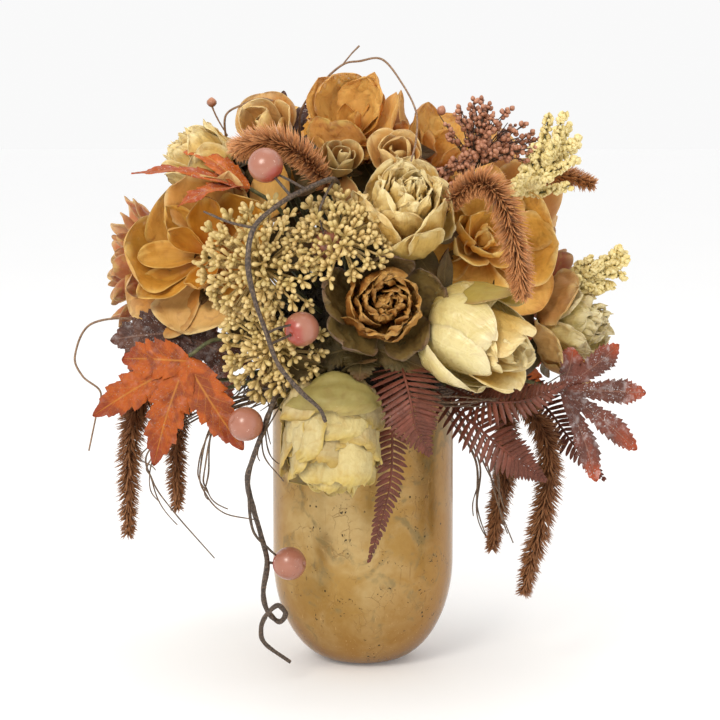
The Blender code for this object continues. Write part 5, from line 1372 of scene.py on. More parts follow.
@dataclass
class Bloom(Piece):
    """A fabric bloom on a stem, with a calyx and rings of petals around its axis."""

    stem_radius = 1.5
    kind: BloomKind
    centre: Triple
    size: float
    axis: Triple
    turn: float
    record_slot: str
    finishes: tuple[Finish, ...]

    def frame(self) -> Array:
        """Find how the bloom is turned.

        Returns:
            Its three directions as columns, with its axis last.
        """
        axis = unit(np.array(self.axis, float))
        side = unit(np.cross(axis, UP if abs(axis[2]) < 0.9 else np.array((0.0, 1.0, 0.0))))
        return np.stack([side, np.cross(axis, side), axis], -1)

    def placed(self, points: Array) -> Array:
        """Put points in their place.

        Args:
            points: Points in the bloom's own frame.

        Returns:
            The same points in the arrangement.
        """
        depth, _ = self.kind.value
        base = np.array(self.centre) - self.frame()[:, 2] * self.size * depth * 0.5
        return points @ self.frame().T + base

    def anchor(self) -> Array:
        """Return where the stem meets the calyx."""
        return self.placed(np.array((0.0, 0.0, -0.22 * self.size - 1.5)))

    def heading(self) -> Array:
        """Return the axis."""
        return self.frame()[:, 2]

    def grow(self, mould: Mould) -> None:
        """Add the calyx, the sepals and the petals.

        Args:
            mould: The mesh that they are added to.
        """
        size = self.size
        calyx = Form.turned(((1.4, -0.22 * size - 2), (1.9, -0.2 * size), (0.10 * size, -0.12 * size),
                             (0.19 * size, -0.04 * size), (0.14 * size, 0.0), (0.03 * size, 0.02 * size)),
                            20, 5, 0.06)
        mould.add(self.placed(calyx.points), calyx.faces, growth(calyx.along, calyx.across), Finish.STALK)
        for index in range(5):
            self.add_petal(mould, SEPAL, 0.17 * size, -0.04 * size, 72 * index + 20, Finish.OLIVE_LEAF)
            self.add_petal(mould, COLLAR, 0.10 * size, -0.12 * size, 72 * index + 50, Finish.OLIVE_LEAF)
        _, petals = self.kind.value
        for one in petals:
            finish = self.finishes[min(one.layer, len(self.finishes) - 1)]
            turn = self.turn + one.turn + mould.chance.uniform(-6, 6)
            self.add_petal(mould, one.form, one.start * size, one.lift * size, turn, finish)

    def add_petal(self, mould: Mould, form: PetalForm, start: float, lift: float, turn: float,
                  finish: Finish) -> None:
        """Add one petal.

        Args:
            mould: The mesh that it is added to.
            form: Its form.
            start: How far from the axis it starts.
            lift: How high it starts.
            turn: Its direction around the axis, in degrees.
            finish: Its finish.
        """
        scale = self.size * mould.chance.uniform(0.93, 1.05)
        points, along, across = form.grow(scale, start, lift, mould.chance)
        angle = math.radians(turn)
        spin = np.array(((math.cos(angle), -math.sin(angle), 0), (math.sin(angle), math.cos(angle), 0),
                         (0, 0, 1)))
        mould.sheet(self.placed(points @ spin.T), along, across, finish)


@dataclass
class Leaf(Piece):
    """A leaf of several toothed lobes that meet at its base."""

    base: Triple
    tips: tuple[Triple, ...]
    width: float
    facing: Triple
    record_slot: str
    finish: Finish
    teeth: int = 7
    belly: float = 0.8

    def anchor(self) -> Array:
        """Return where the stem meets the leaf."""
        return np.array(self.base) - self.heading() * 3.0

    def heading(self) -> Array:
        """Return the direction of the leaf."""
        return unit(np.mean(self.tips, axis=0) - np.array(self.base))

    def grow(self, mould: Mould) -> None:
        """Add the stalk and the lobes.

        Args:
            mould: The mesh that they are added to.
        """
        base = np.array(self.base, float)
        facing = unit(np.array(self.facing, float))
        mould.tube(smooth_path([self.anchor(), base, base + self.heading() * 4], 8), (1.1, 0.8), 8,
                   Finish.STALK)
        for rank, tip in enumerate(self.tips):
            lift = facing * (0.5 * rank - 1.0)
            run = np.array(tip) - base
            arch = facing * np.linalg.norm(run) * 0.09
            path = smooth_path([base - unit(run) * 2 + lift, base + run * 0.5 + arch + lift,
                                base + run + lift * 0.5], 64)
            self.lobe(mould, path, facing)

    def lobe(self, mould: Mould, path: Array, facing: Array) -> None:
        """Add one toothed lobe, folded along its midrib.

        Args:
            mould: The mesh that it is added to.
            path: The line of its midrib.
            facing: The direction to which its upper side looks.
        """
        along = np.linspace(0, 1, len(path))
        side = np.linspace(-1, 1, 13)
        tangents, _, _ = path_frames(path)
        across = unit(np.cross(tangents, facing))
        normal = np.cross(across, tangents)
        outline = np.sin(math.pi * np.clip(along, 0.02, 1) ** self.belly) ** 0.75 + 0.10 * (1 - along)
        saw = (along * self.teeth) % 1.0
        small = (along * self.teeth * 3) % 1.0
        outline *= 1 - 0.26 * (1 - saw) * np.clip((along - 0.12) * 4, 0, 1) - 0.06 * (1 - small)
        outline[-1] = 0.01
        half = (self.width * outline)[:, None]
        drop = np.abs(side) * 0.32 - 0.15 * side ** 4
        wave = folds(along[:, None], side[None], mould.chance, 6.0) * 0.07 * self.width
        edge = np.sin(along[:, None] * 17 + 2 * side) * 0.08 * self.width * side ** 2
        points = (path[:, None] + across[:, None] * (half * side)[..., None]
                  + normal[:, None] * (half * drop + wave * np.abs(side) + edge)[..., None]
                  + tangents[:, None] * (half * np.abs(side) * 0.22)[..., None])
        mould.sheet(points, along, (side + 1) / 2, self.finish, 0.45)


@dataclass
class Fern(Trail):
    """A frond: a rib with slim leaflets in two rows. Its length is that of the leaflets."""

    stem_radius = 0.9
    record_slot = "burgundy_fern"
    length: float
    facing: Triple
    pitch: float = 2.9

    def anchor(self) -> Array:
        """Return where the stem meets the frond."""
        return np.array(self.path[0]) - self.heading() * 3.0

    def grow(self, mould: Mould) -> None:
        """Add the rib and the leaflets.

        Args:
            mould: The mesh that they are added to.
        """
        fine = smooth_path(self.path, 120)
        mould.tube(np.vstack([self.anchor(), fine]), (0.9, 0.75, 0.6, 0.35), 8, Finish.FERN)
        count = int(length_of(fine) / self.pitch)
        share = np.repeat(np.linspace(0.06, 0.99, count), 2) + mould.chance.uniform(-0.004, 0.004, 2 * count)
        place = np.clip(share, 0, 1) * (len(fine) - 1)
        spots = np.stack([np.interp(place, np.arange(len(fine)), fine[:, axis]) for axis in range(3)], -1)
        tangents, _, _ = path_frames(fine)
        ahead = tangents[place.astype(int)]
        facing = unit(np.array(self.facing, float))
        across = unit(np.cross(ahead, facing)) * np.tile((-1.0, 1.0), count)[:, None]
        reach = self.length * 1.08 * read((0.62, 0.95, 1.0, 0.92, 0.72, 0.42, 0.12), share)
        reach = reach * mould.chance.uniform(0.92, 1.06, 2 * count)
        droop = mould.chance.uniform(0.02, 0.22, 2 * count)[:, None]
        pointing = across + ahead * (0.25 + 0.5 * share[:, None] ** 2) - facing * droop
        sizes = np.stack([self.pitch * 2.1 * (0.75 + 0.25 * reach / self.length), reach], -1)
        mould.stamp(PINNA, spots, pointing, ahead + facing * 0.2, sizes, Finish.FERN)


@dataclass
class Tail(Trail):
    """A foxtail: a core that bristles with fine needles that lean forward."""

    reach: float
    finish: Finish = Finish.COPPER
    record_slot: str = "copper_foxtail"
    density: float = 17.0

    def grow(self, mould: Mould) -> None:
        """Add the core and the needles.

        Args:
            mould: The mesh that they are added to.
        """
        fine = smooth_path(self.path, 160)
        mould.tube(fine, (0.9, 1.1, 1.1, 0.9, 0.4), 8, self.finish)
        count = int(length_of(fine) * self.density)
        chance = mould.chance
        share = np.sort(chance.uniform(0.04, 1.0, count))
        index = (share * (len(fine) - 1)).astype(int)
        ahead, outward = offshoots(fine, index, chance.uniform(0, 2 * math.pi, count))
        size = self.reach * read((0.45, 0.9, 1.0, 1.0, 0.95, 0.8, 0.5), share)
        pointing = outward * chance.uniform(0.7, 1.6, count)[:, None] + ahead * 0.7
        sizes = np.stack([chance.uniform(0.85, 1.25, count), size * chance.uniform(0.75, 1.12, count)], -1)
        # Painted light and shade: needles that point up get a lighter colour, needles that point down a
        # darker one.
        depth = np.clip((outward[:, 2] + 1) / 2, 0, 1)
        mould.stamp(NEEDLE, fine[index] + outward * 0.6, pointing, ahead, sizes, self.finish, depth)


@dataclass
class Heather(Tail):
    """A spray of heather: short side twigs crowded with crumbly florets."""

    def grow(self, mould: Mould) -> None:
        """Add the main twig, the side twigs and the florets on them.

        Args:
            mould: The mesh that they are added to.
        """
        chance = mould.chance
        fine = smooth_path(self.path, 90)
        mould.tube(fine, (0.9, 0.8, 0.4), 8, Finish.STALK)
        self.florets(mould, fine, 1.0)
        ranks = np.arange(14)
        index = 14 + ranks * 5
        for rank, start, ahead, outward in zip(ranks, fine[index], *offshoots(fine, index, ranks * 2.4)):
            reach = self.reach * chance.uniform(1.8, 3.0) * (1 - 0.45 * rank / len(ranks))
            bow = start + (outward + ahead * 0.7) * reach * 0.45
            twig = smooth_path([start, bow, start + (outward * 0.8 + ahead) * reach], 24)
            mould.tube(twig, (0.45, 0.3), 6, Finish.STALK)
            self.florets(mould, twig, 0.9)

    def florets(self, mould: Mould, twig: Array, scale: float) -> None:
        """Add the florets along one twig.

        Args:
            mould: The mesh that they are added to.
            twig: The points of the twig.
            scale: How far the florets stand away, against those of the main twig.
        """
        chance = mould.chance
        count = int(length_of(twig) * self.density)
        share = chance.uniform(0.12, 1.0, count)
        index = np.minimum((share * len(twig)).astype(int), len(twig) - 1)
        ahead, outward = offshoots(twig, index, chance.uniform(0, 2 * math.pi, count))
        away = chance.uniform(0.3, 1.0, count)[:, None] * self.reach * 0.22 * scale
        away = away * read((0.8, 1.0, 1.0, 0.7), share)[:, None]
        size = chance.uniform(1.1, 2.1, count)
        pointing = outward + ahead * 0.5 + chance.normal(0, 0.3, (count, 3))
        # Painted shade: the depth mark makes florets close to their twig darker than those farther out.
        mould.stamp(FLORET, twig[index] + outward * away, pointing, ahead + 0.01,
                    np.stack([size, size * 1.2], -1), self.finish, away[:, 0] / self.reach)


@dataclass
class Umbel(Piece):
    """A flat head of many small clubs or beads on forking rays."""

    centre: Triple
    radius: float
    axis: Triple
    form: Form
    unit_size: float
    clusters: int
    finish: Finish
    record_slot: str
    dome: float = 0.38

    def anchor(self) -> Array:
        """Return where the stem meets the rays."""
        return np.array(self.centre) - self.heading() * self.radius * 0.75

    def heading(self) -> Array:
        """Return the axis of the head."""
        return unit(np.array(self.axis, float))

    def grow(self, mould: Mould) -> None:
        """Add the rays, the stalks and the clubs.

        Args:
            mould: The mesh that they are added to.
        """
        chance = mould.chance
        foot = self.anchor()
        axis = self.heading()
        side = unit(np.cross(axis, UP))
        other = np.cross(axis, side)
        for rank in range(self.clusters):
            share = math.sqrt((rank + 0.5) / self.clusters)
            turn = rank * GOLDEN_TURN + chance.uniform(-0.2, 0.2)
            flat = side * math.cos(turn) + other * math.sin(turn)
            reach = self.radius * share * chance.uniform(0.86, 1.0)
            sunk = self.radius * self.dome * share ** 2 + self.unit_size * chance.uniform(2.0, 10.0)
            fork = np.array(self.centre) + flat * reach - axis * sunk
            ray = smooth_path([foot, foot * 0.5 + fork * 0.5 + axis * 1.5, fork], 10)
            mould.tube(ray, (0.75, 0.6), 6, self.finish)
            self.cluster(mould, fork, unit(fork - foot + axis * self.radius * 0.5), side)

    def cluster(self, mould: Mould, fork: Array, ahead: Array, side: Array) -> None:
        """Add the clubs that spread from one fork.

        Args:
            mould: The mesh that they are added to.
            fork: Where they start.
            ahead: The direction in which they spread.
            side: A direction across the head.
        """
        chance = mould.chance
        count = int(chance.integers(4, 7))
        turns = np.arange(count)[:, None] * GOLDEN_TURN + chance.uniform(0, 6)
        around = unit(np.cross(ahead, side + 0.01))
        outward = around * np.cos(turns) + np.cross(ahead, around) * np.sin(turns)
        pointing = ahead + outward * chance.uniform(0.3, 1.2, (count, 1))
        size = self.unit_size * chance.uniform(0.82, 1.15, count)
        starts = np.repeat(fork[None], count, 0) - unit(pointing) * chance.uniform(1.0, 3.0, (count, 1))
        mould.stamp(self.form, starts, pointing, outward, np.stack([size, size * 1.1], -1), self.finish,
                    chance.random(count))


@dataclass
class BeadSpray(Umbel):
    """A plume of fine stems that are crowded with oval beads, densest near its foot."""

    tips: tuple[Triple, ...] = ()
    wires: tuple[Triple, ...] = ()
    beads: int = 12

    def grow(self, mould: Mould) -> None:
        """Add the stems and their beads, and the bare wires, of which the first ends in a bead.

        Args:
            mould: The mesh that they are added to.
        """
        chance = mould.chance
        foot = self.anchor()
        ends = np.array(self.wires, float)
        for end in ends:
            mould.tube(smooth_path([foot, foot * 0.5 + end * 0.5, end], 12), (0.4, 0.25), 5, Finish.BARK)
        mould.stamp(self.form, ends[:1], self.heading()[None], unit(ends[:1]), np.full((1, 2), 2.6),
                    self.finish, 1.0)
        for tip in self.tips:
            end = np.array(tip, float)
            for twin in range(3):
                goal = end + chance.normal(0, 3.0 if twin else 0.3, 3)
                bow = (foot + goal) / 2 + self.heading() * 4 + chance.normal(0, 1.5, 3)
                stem = smooth_path([foot, bow, goal], 26)
                mould.tube(stem, (0.5, 0.35, 0.25), 5, Finish.BARK)
                share = chance.uniform(0.28, 1.0, self.beads)
                share[0] = 1.0
                index = (share * (len(stem) - 1)).astype(int)
                ahead, outward = offshoots(stem, index, chance.uniform(0, 6.3, self.beads))
                outward[0] = 0
                size = self.unit_size * chance.uniform(0.65, 1.15, self.beads) * (1.1 - 0.3 * share)
                mould.stamp(self.form, stem[index] + outward * 0.5, ahead + outward * 0.9, outward + 0.01,
                            np.stack([size, size], -1), self.finish, chance.random(self.beads))


@dataclass
class Vine(Trail):
    """A woody vine or a thin tendril, with side twigs and berries or beads."""

    record_slot = "vine_bark"
    radius: float
    twigs: tuple[tuple[Triple, ...], ...] = ()
    berries: tuple[Triple, ...] = ()
    finish: Finish = Finish.BARK

    def __post_init__(self) -> None:
        """Give the stem the vine's own radius and finish."""
        self.stem_radius = self.radius
        self.stem_finish = self.finish

    def woody(self) -> bool:
        """Tell a vine from a tendril."""
        return self.radius > 1

    def grow(self, mould: Mould) -> None:
        """Add the vine, its side twigs, its knots and its berries.

        Args:
            mould: The mesh that they are added to.
        """
        fine = smooth_path(self.path, 40 * len(self.path))
        sides, ridges = (14, 0.14) if self.woody() else (8, 0.05)
        mould.tube(fine, (self.radius, self.radius, self.radius * 0.75), sides, self.finish, ridges)
        for twig in self.twigs:
            mould.tube(smooth_path(twig, 50), (self.radius * 0.6, 0.5), 9, self.finish, 0.1)
        for centre in np.array(self.berries, float):
            if self.woody():
                self.berry(mould, centre, fine)
            else:
                mould.stamp(BEAD, centre[None] - UP * 2.6, UP[None] + 0.01, np.array([[1.0, 0, 0]]),
                            np.array([[2.7, 2.5]]), Finish.BEADS)

    def berry(self, mould: Mould, centre: Array, fine: Array) -> None:
        """Add one berry with a dimple at its end and a short stalk to the vine.

        Args:
            mould: The mesh that it is added to.
            centre: The middle of the berry.
            fine: The points of the vine.
        """
        near = fine[np.argmin(np.linalg.norm(fine - centre, axis=1))]
        axis = unit(centre - near + np.array((0.0, -2.0, 1.0)))
        turns = np.linspace(-math.pi / 2 + 0.04, math.pi / 2 - 0.02, 34)
        dip = np.exp(-((turns - math.pi / 2) / 0.13) ** 2) * 1.5
        dent = np.exp(-((turns + math.pi / 2) / 0.22) ** 2) * 1.2
        profile = [(BERRY_RADIUS * math.cos(turn), BERRY_HALF_HEIGHT * math.sin(turn) - low + high)
                   for turn, low, high in zip(turns, dip, dent)]
        form = Form.turned(profile, 36, 5, 0.012)
        mould.stamp(form, centre[None], axis[None], np.array([[1.0, 0.2, 0]]), np.ones((1, 2)), Finish.BERRY)
        stalk = smooth_path([near, centre - axis * 9.4, centre - axis * 7.4], 12)
        mould.tube(stalk, (0.8, 0.7, 1.1), 8, Finish.BARK)


@dataclass
class Vase:
    """The vase: straight sides, a rounded bottom, a small flat foot and an open top."""

    radius: float = VASE_RADIUS
    height: float = VASE_HEIGHT
    rim: float = 1.2
    wall: float = 2.6
    base_radius: float = 15.0
    base_thickness: float = 6.0
    corner_width: float = 35.0
    corner_height: float = 57.0
    segments: int = 192

    def corner(self, inset: float, floor: float, steps: int) -> list[tuple[float, float]]:
        """Draw the rounded corner between the foot and the side.

        Args:
            inset: How far inside the outer wall it runs.
            floor: How high it starts.
            steps: How many points it has.

        Returns:
            The radius and the height of each point.
        """
        turns = np.linspace(0, math.pi / 2, steps)
        return [(self.base_radius + (self.corner_width - inset) * math.sin(turn),
                 self.corner_height - (self.corner_height - floor) * math.cos(turn)) for turn in turns]

    def profile(self) -> list[tuple[float, float]]:
        """Draw the wall, up the outside, over the rim and down the inside.

        Returns:
            The radius and the height of each point.
        """
        side = np.linspace(self.corner_height, self.height - self.rim, 50)[1:]
        line = [(0.05, 0.0), (self.base_radius * 0.6, 0.0), *self.corner(0.0, 0.0, 40)]
        line += [(self.radius, height) for height in side]
        line += [(self.radius - self.wall / 2 + self.wall / 2 * math.cos(turn),
                  self.height - self.rim + self.rim * math.sin(turn))
                 for turn in np.linspace(0.3, math.pi, 8)]
        inside = self.corner(self.wall, self.base_thickness, 20)
        return line + [(self.radius - self.wall, self.height - 30.0), *reversed(inside),
                       (0.05, self.base_thickness)]

    def build(self) -> bpy.types.Object:
        """Turn the vase and press the small dents into its foiled wall.

        Returns:
            The vase.
        """
        mould = Mould("vase")
        form = Form.turned(self.profile(), self.segments)
        points = form.points.reshape(-1, self.segments, 3).copy()
        turns = form.across.reshape(-1, self.segments) * 2 * math.pi
        height = points[..., 2]
        dents = sum(np.sin(rate * turns + climb * height / 20 + phase) / rate for rate, climb, phase in
                    ((3, 1.3, 0.4), (5, -2.1, 1.9), (8, 3.2, 4.0), (13, -4.6, 2.2)))
        free = np.clip(height / 12, 0, 1) * np.clip((self.height - height) / 6, 0, 1)
        points[..., :2] *= (1 - 0.0016 * (dents + 0.6) * free)[..., None]
        mould.add(points.reshape(-1, 3), form.faces, growth(form.along, form.across), Finish.GLASS)
        return mould.cast("vase_glass")


@dataclass
class Foam:
    """The mossed foam dome that fills the vase and holds the stems."""

    radius: float = 46.9
    floor: float = 6.5
    centre: float = FOAM_DOME_CENTRE
    tufts: int = 2600

    def build(self) -> bpy.types.Object:
        """Turn the dome and cover it with moss.

        Returns:
            The dome with its moss.
        """
        mould = Mould("foam")
        chance = mould.chance
        turns = np.linspace(0, math.pi / 2 - 0.02, 30)
        profile = [(0.1, self.floor), (15.0, self.floor), (30.0, 15.0), (42.0, 38.0)]
        profile += [(self.radius, height) for height in np.linspace(60, self.centre, 30)]
        profile += [(self.radius * math.cos(turn), self.centre + self.radius * math.sin(turn))
                    for turn in turns[1:]]
        form = Form.turned(profile, 96)
        noise = np.prod(np.sin(form.points @ np.array(((0.9, -0.4), (0.5, 0.8), (0.7, 0.9)))), axis=1)
        lift = np.clip((form.points[:, 2] - 150) / 10, 0, 1) * noise * 1.2 - 1.2
        middle = np.stack([form.points[:, 0] * 0, form.points[:, 1] * 0,
                           np.minimum(form.points[:, 2], self.centre)], -1)
        points = form.points + unit(form.points - middle) * lift[:, None]
        mould.add(points, form.faces, growth(form.along, form.across), Finish.MOSS)
        turn = chance.uniform(0, 2 * math.pi, self.tufts)
        rise = chance.uniform(-0.45, 1.5, self.tufts)
        outward = np.stack([np.cos(turn) * np.cos(np.maximum(rise, 0)),
                            np.sin(turn) * np.cos(np.maximum(rise, 0)), np.sin(np.maximum(rise, 0))], -1)
        start = outward * (self.radius - 2) + UP * (self.centre + np.minimum(rise, 0)[:, None] * 50)
        pointing = outward + chance.normal(0, 0.6, (self.tufts, 3))
        sizes = np.stack([chance.uniform(1.2, 2.4, self.tufts), chance.uniform(3, 6.5, self.tufts)], -1)
        mould.stamp(NEEDLE, start, pointing, chance.normal(0, 1, (self.tufts, 3)), sizes, Finish.MOSS)
        return mould.cast("foam_moss")


@dataclass
class Nest:
    """The wreath of fine twigs around the rim, with strands that hang from it."""

    strands: tuple[tuple[Triple, ...], ...]
    radius: float = 60.0
    height: float = 154.0
    wound: int = 170
    loose: int = 150
    pins: tuple[float, ...] = (45, 171, 279)

    def build(self) -> bpy.types.Object:
        """Wind the nest, pin it to the foam, and add its loose twigs and strands.

        Returns:
            The nest.
        """
        mould = Mould("nest")
        chance = mould.chance
        for rank in range(self.wound):
            start = chance.uniform(0, 2 * math.pi)
            turns = start + np.linspace(0, chance.uniform(0.5, 1.5) * chance.choice((-1, 1)), 26)
            swing = chance.uniform(0, 6)
            reach = self.radius + chance.normal(0, 2.6) + 1.8 * np.sin(turns * chance.uniform(3, 8) + swing)
            rise = self.height + chance.normal(0, 2.2) + 1.6 * np.sin(turns * chance.uniform(3, 8) + swing)
            path = np.stack([np.cos(turns) * reach, np.sin(turns) * reach, rise], -1)
            mould.tube(path, (0.3, chance.uniform(0.4, 0.95), 0.25), 6, Finish.STRAW, 0.1)
        for turn in np.radians(self.pins):
            out = np.array((math.cos(turn), math.sin(turn), 0.0))
            mould.tube(smooth_path([out * 30 + UP * self.height, out * self.radius + UP * self.height], 6),
                       (1.2, 1.2), 8, Finish.STRAW)
        for rank in range(self.loose):
            turn = 2 * math.pi * rank / self.loose + chance.uniform(-0.1, 0.1)
            out = np.array((math.cos(turn), math.sin(turn), 0.0))
            about = np.cross(UP, out) * chance.choice((-1, 1))
            reach = chance.uniform(9, 24)
            start = out * (self.radius - 2) + UP * (self.height + chance.uniform(-3, 3))
            end = start + out * reach * 0.6 + about * reach * 0.7 - UP * chance.uniform(0, 0.55) * reach
            middle = (start + end) / 2 + UP * chance.uniform(0, 4) + out * chance.uniform(-2, 3)
            mould.tube(smooth_path([start, middle, end], 16), (0.5, chance.uniform(0.3, 0.6), 0.2), 6,
                       Finish.STRAW, 0.1)
        for strand in self.strands:
            for twin in range(4):
                shift = chance.normal(0, 2.6 if twin else 0.1, (len(strand), 3))
                path = smooth_path(np.array(strand, float) + shift, 90)[: int(90 * (1 - 0.13 * twin))]
                mould.tube(path, (0.7 - 0.1 * twin, 0.45, 0.3), 7, Finish.STRAW, 0.12)
        return mould.cast("nest_twigs")


@dataclass
class Studio:
    """The pale floor, the soft lights and the camera that matches the photograph."""

    target: Triple = (-1.65, 0.0, 166.8)
    distance: float = 1250.0
    elevation: float = 8.0
    lens: float = 113.636
    sensor: float = 36.0

    def build(self) -> None:
        """Make the floor, the lights, the world and the camera."""
        self.floor()
        self.light("key", (-0.6, -1.25, 0.95), 0.5, 12.0)
        self.light("fill", (1.2, -0.9, 0.5), 0.9, 1.5)
        self.light("top", (0.1, 0.2, 1.5), 0.8, 3.0)
        self.light("back", (0.3, 1.2, 0.9), 0.9, 1.5)
        world = bpy.data.worlds.new("studio_light")
        world.use_nodes = True
        background = world.node_tree.nodes["Background"]
        background.inputs["Color"].default_value = (1.0, 1.0, 1.0, 1.0)
        background.inputs["Strength"].default_value = 0.95
        bpy.context.scene.world = world
        bpy.context.scene.view_settings.view_transform = "Standard"
        self.camera()

    def floor(self) -> None:
        """Lay the floor."""
        mesh = bpy.data.meshes.new("floor")
        reach = 6.0
        corners = [(x * reach, y * reach, 0) for x, y in ((-1, -1), (1, -1), (1, 1), (-1, 1))]
        mesh.from_pydata(corners, [], [(0, 1, 2, 3)])
        mesh.materials.append(Finish.FLOOR.material())
        item = bpy.data.objects.new("floor", mesh)
        item.location.z = -0.0002
        bpy.context.scene.collection.objects.link(item)

    def light(self, name: str, place: Triple, size: float, power: float) -> None:
        """Hang a soft square light that shines at the arrangement.

        Args:
            name: Its name.
            place: Where it hangs, in metres.
            size: How wide it is, in metres.
            power: Its power, in watts.
        """
        data = bpy.data.lights.new(name, "AREA")
        data.size = size
        data.energy = power
        data.color = (1.0, 0.95, 0.86)
        item = bpy.data.objects.new(name, data)
        item.location = place
        item.rotation_euler = (Vector((0, 0, 0.16)) - Vector(place)).to_track_quat("-Z", "Y").to_euler()
        bpy.context.scene.collection.objects.link(item)

    def camera(self) -> None:
        """Place the camera."""
        data = bpy.data.cameras.new("camera")
        data.lens = self.lens
        data.sensor_width = self.sensor
        item = bpy.data.objects.new("camera", data)
        rise = math.radians(self.elevation)
        back = Vector((0, -math.cos(rise), math.sin(rise)))
        target = Vector(self.target) * METRES
        item.location = target + back * self.distance * METRES
        item.rotation_euler = (-back).to_track_quat("-Z", "Y").to_euler()
        bpy.context.scene.collection.objects.link(item)
        bpy.context.scene.camera = item


CARAMEL_BLOOM = ("caramel_petals", (Finish.CARAMEL, Finish.PEACH, Finish.RUST))
PEACH_BLOOM = ("caramel_petals", (Finish.PEACH, Finish.AMBER))
AMBER_BLOOM = ("caramel_petals", (Finish.AMBER, Finish.RUST))
HONEY_BLOOM = ("caramel_petals", (Finish.HONEY, Finish.AMBER))
CREAM_BLOOM = ("cream_petals", (Finish.CREAM,))
CORAL_BLOOM = ("coral_petals", (Finish.CORAL,))

BLOOMS = (
    Bloom("tan_rose", BloomKind.OPEN_ROSE, (11, -92, 208), 23, (0.1, -0.97, 0.2), 20, "tan_petals",
          (Finish.TAN, Finish.SMOKE)),
    Bloom("cream_tulip", BloomKind.TULIP, (58, -86, 191), 27, (0.72, -0.62, -0.3), 0, "cream_petals",
          (Finish.IVORY, Finish.CREAM, Finish.LIME)),
    Bloom("cream_rose_front", BloomKind.LONG_ROSE, (-16, -84, 139), 27, (0.02, -0.3, -0.95), 0,
          "cream_petals", (Finish.HOOD, Finish.PAPER)),
    Bloom("cream_rose_mid", BloomKind.GLOBE_ROSE, (22, -76, 254), 24, (0.1, -0.7, 0.7), 10, *CREAM_BLOOM),
    Bloom("magnolia_left", BloomKind.LEFT_MAGNOLIA, (-85, -55, 236), 44, (-0.26, -0.86, 0.42), 0,
          *CARAMEL_BLOOM),
    Bloom("magnolia_right", BloomKind.RIGHT_MAGNOLIA, (66, -45, 239), 38, (0.2, -0.88, 0.42), 0,
          *HONEY_BLOOM),
    Bloom("magnolia_top", BloomKind.TOP_MAGNOLIA, (-8, -32, 300), 33, (-0.1, -0.6, 0.8), 0, *AMBER_BLOOM),
    Bloom("magnolia_top_right", BloomKind.TOP_RIGHT_MAGNOLIA, (42, -6, 284), 33, (0.4, -0.3, 0.85), 0,
          *AMBER_BLOOM),
    Bloom("amber_rosebud_top_left", BloomKind.ROLLED, (-51, -24, 290), 19, (-0.3, -0.6, 0.75), 0,
          *PEACH_BLOOM),
    Bloom("amber_bud_mid", BloomKind.ROLLED, (18, -56, 279), 14.5, (-0.1, -0.8, 0.6), 30, *PEACH_BLOOM),
    Bloom("green_bud", BloomKind.ROLLED, (-12, -57, 278), 10.5, (0.1, -0.6, 0.8), 0, "olive_leaves",
          (Finish.GREEN_BUD,)),
    Bloom("cream_rose_right", BloomKind.OPEN_ROSE, (111, -22, 188), 25, (0.86, -0.45, 0.15), 50,
          "cream_petals", (Finish.IVORY, Finish.PEACH)),
    Bloom("cream_rose_upper_left", BloomKind.GLOBE_ROSE, (-86, -6, 277), 19, (-0.75, -0.1, 0.65), 5,
          *CREAM_BLOOM),
    Bloom("coral_bloom_left", BloomKind.FRINGED, (-121, -2, 221), 34, (-0.95, -0.15, 0.1), 0, *CORAL_BLOOM),
    Bloom("magnolia_back", BloomKind.MAGNOLIA, (-34, 66, 264), 44, (-0.35, 0.72, 0.6), 12, *HONEY_BLOOM),
    Bloom("magnolia_back_right", BloomKind.MAGNOLIA, (72, 52, 246), 42, (0.65, 0.65, 0.4), 50,
          *CARAMEL_BLOOM),
    Bloom("tan_rose_back", BloomKind.GLOBE_ROSE, (12, 94, 212), 30, (0.1, 0.98, 0.15), 0, "tan_petals",
          (Finish.TAN,)),
    Bloom("cream_rose_back_left", BloomKind.GLOBE_ROSE, (-90, 48, 218), 28, (-0.85, 0.52, 0.1), 30,
          *CREAM_BLOOM),
    Bloom("cream_rose_back_low", BloomKind.GLOBE_ROSE, (-42, 88, 176), 28, (-0.3, 0.9, -0.3), 15,
          *CREAM_BLOOM),
    Bloom("coral_bloom_right", BloomKind.FRINGED, (98, 28, 204), 32, (0.95, 0.3, 0.05), 0, *CORAL_BLOOM),
    Bloom("cream_rose_back_top", BloomKind.GLOBE_ROSE, (24, 54, 268), 22, (0.2, 0.7, 0.65), 0,
          *CREAM_BLOOM),
)

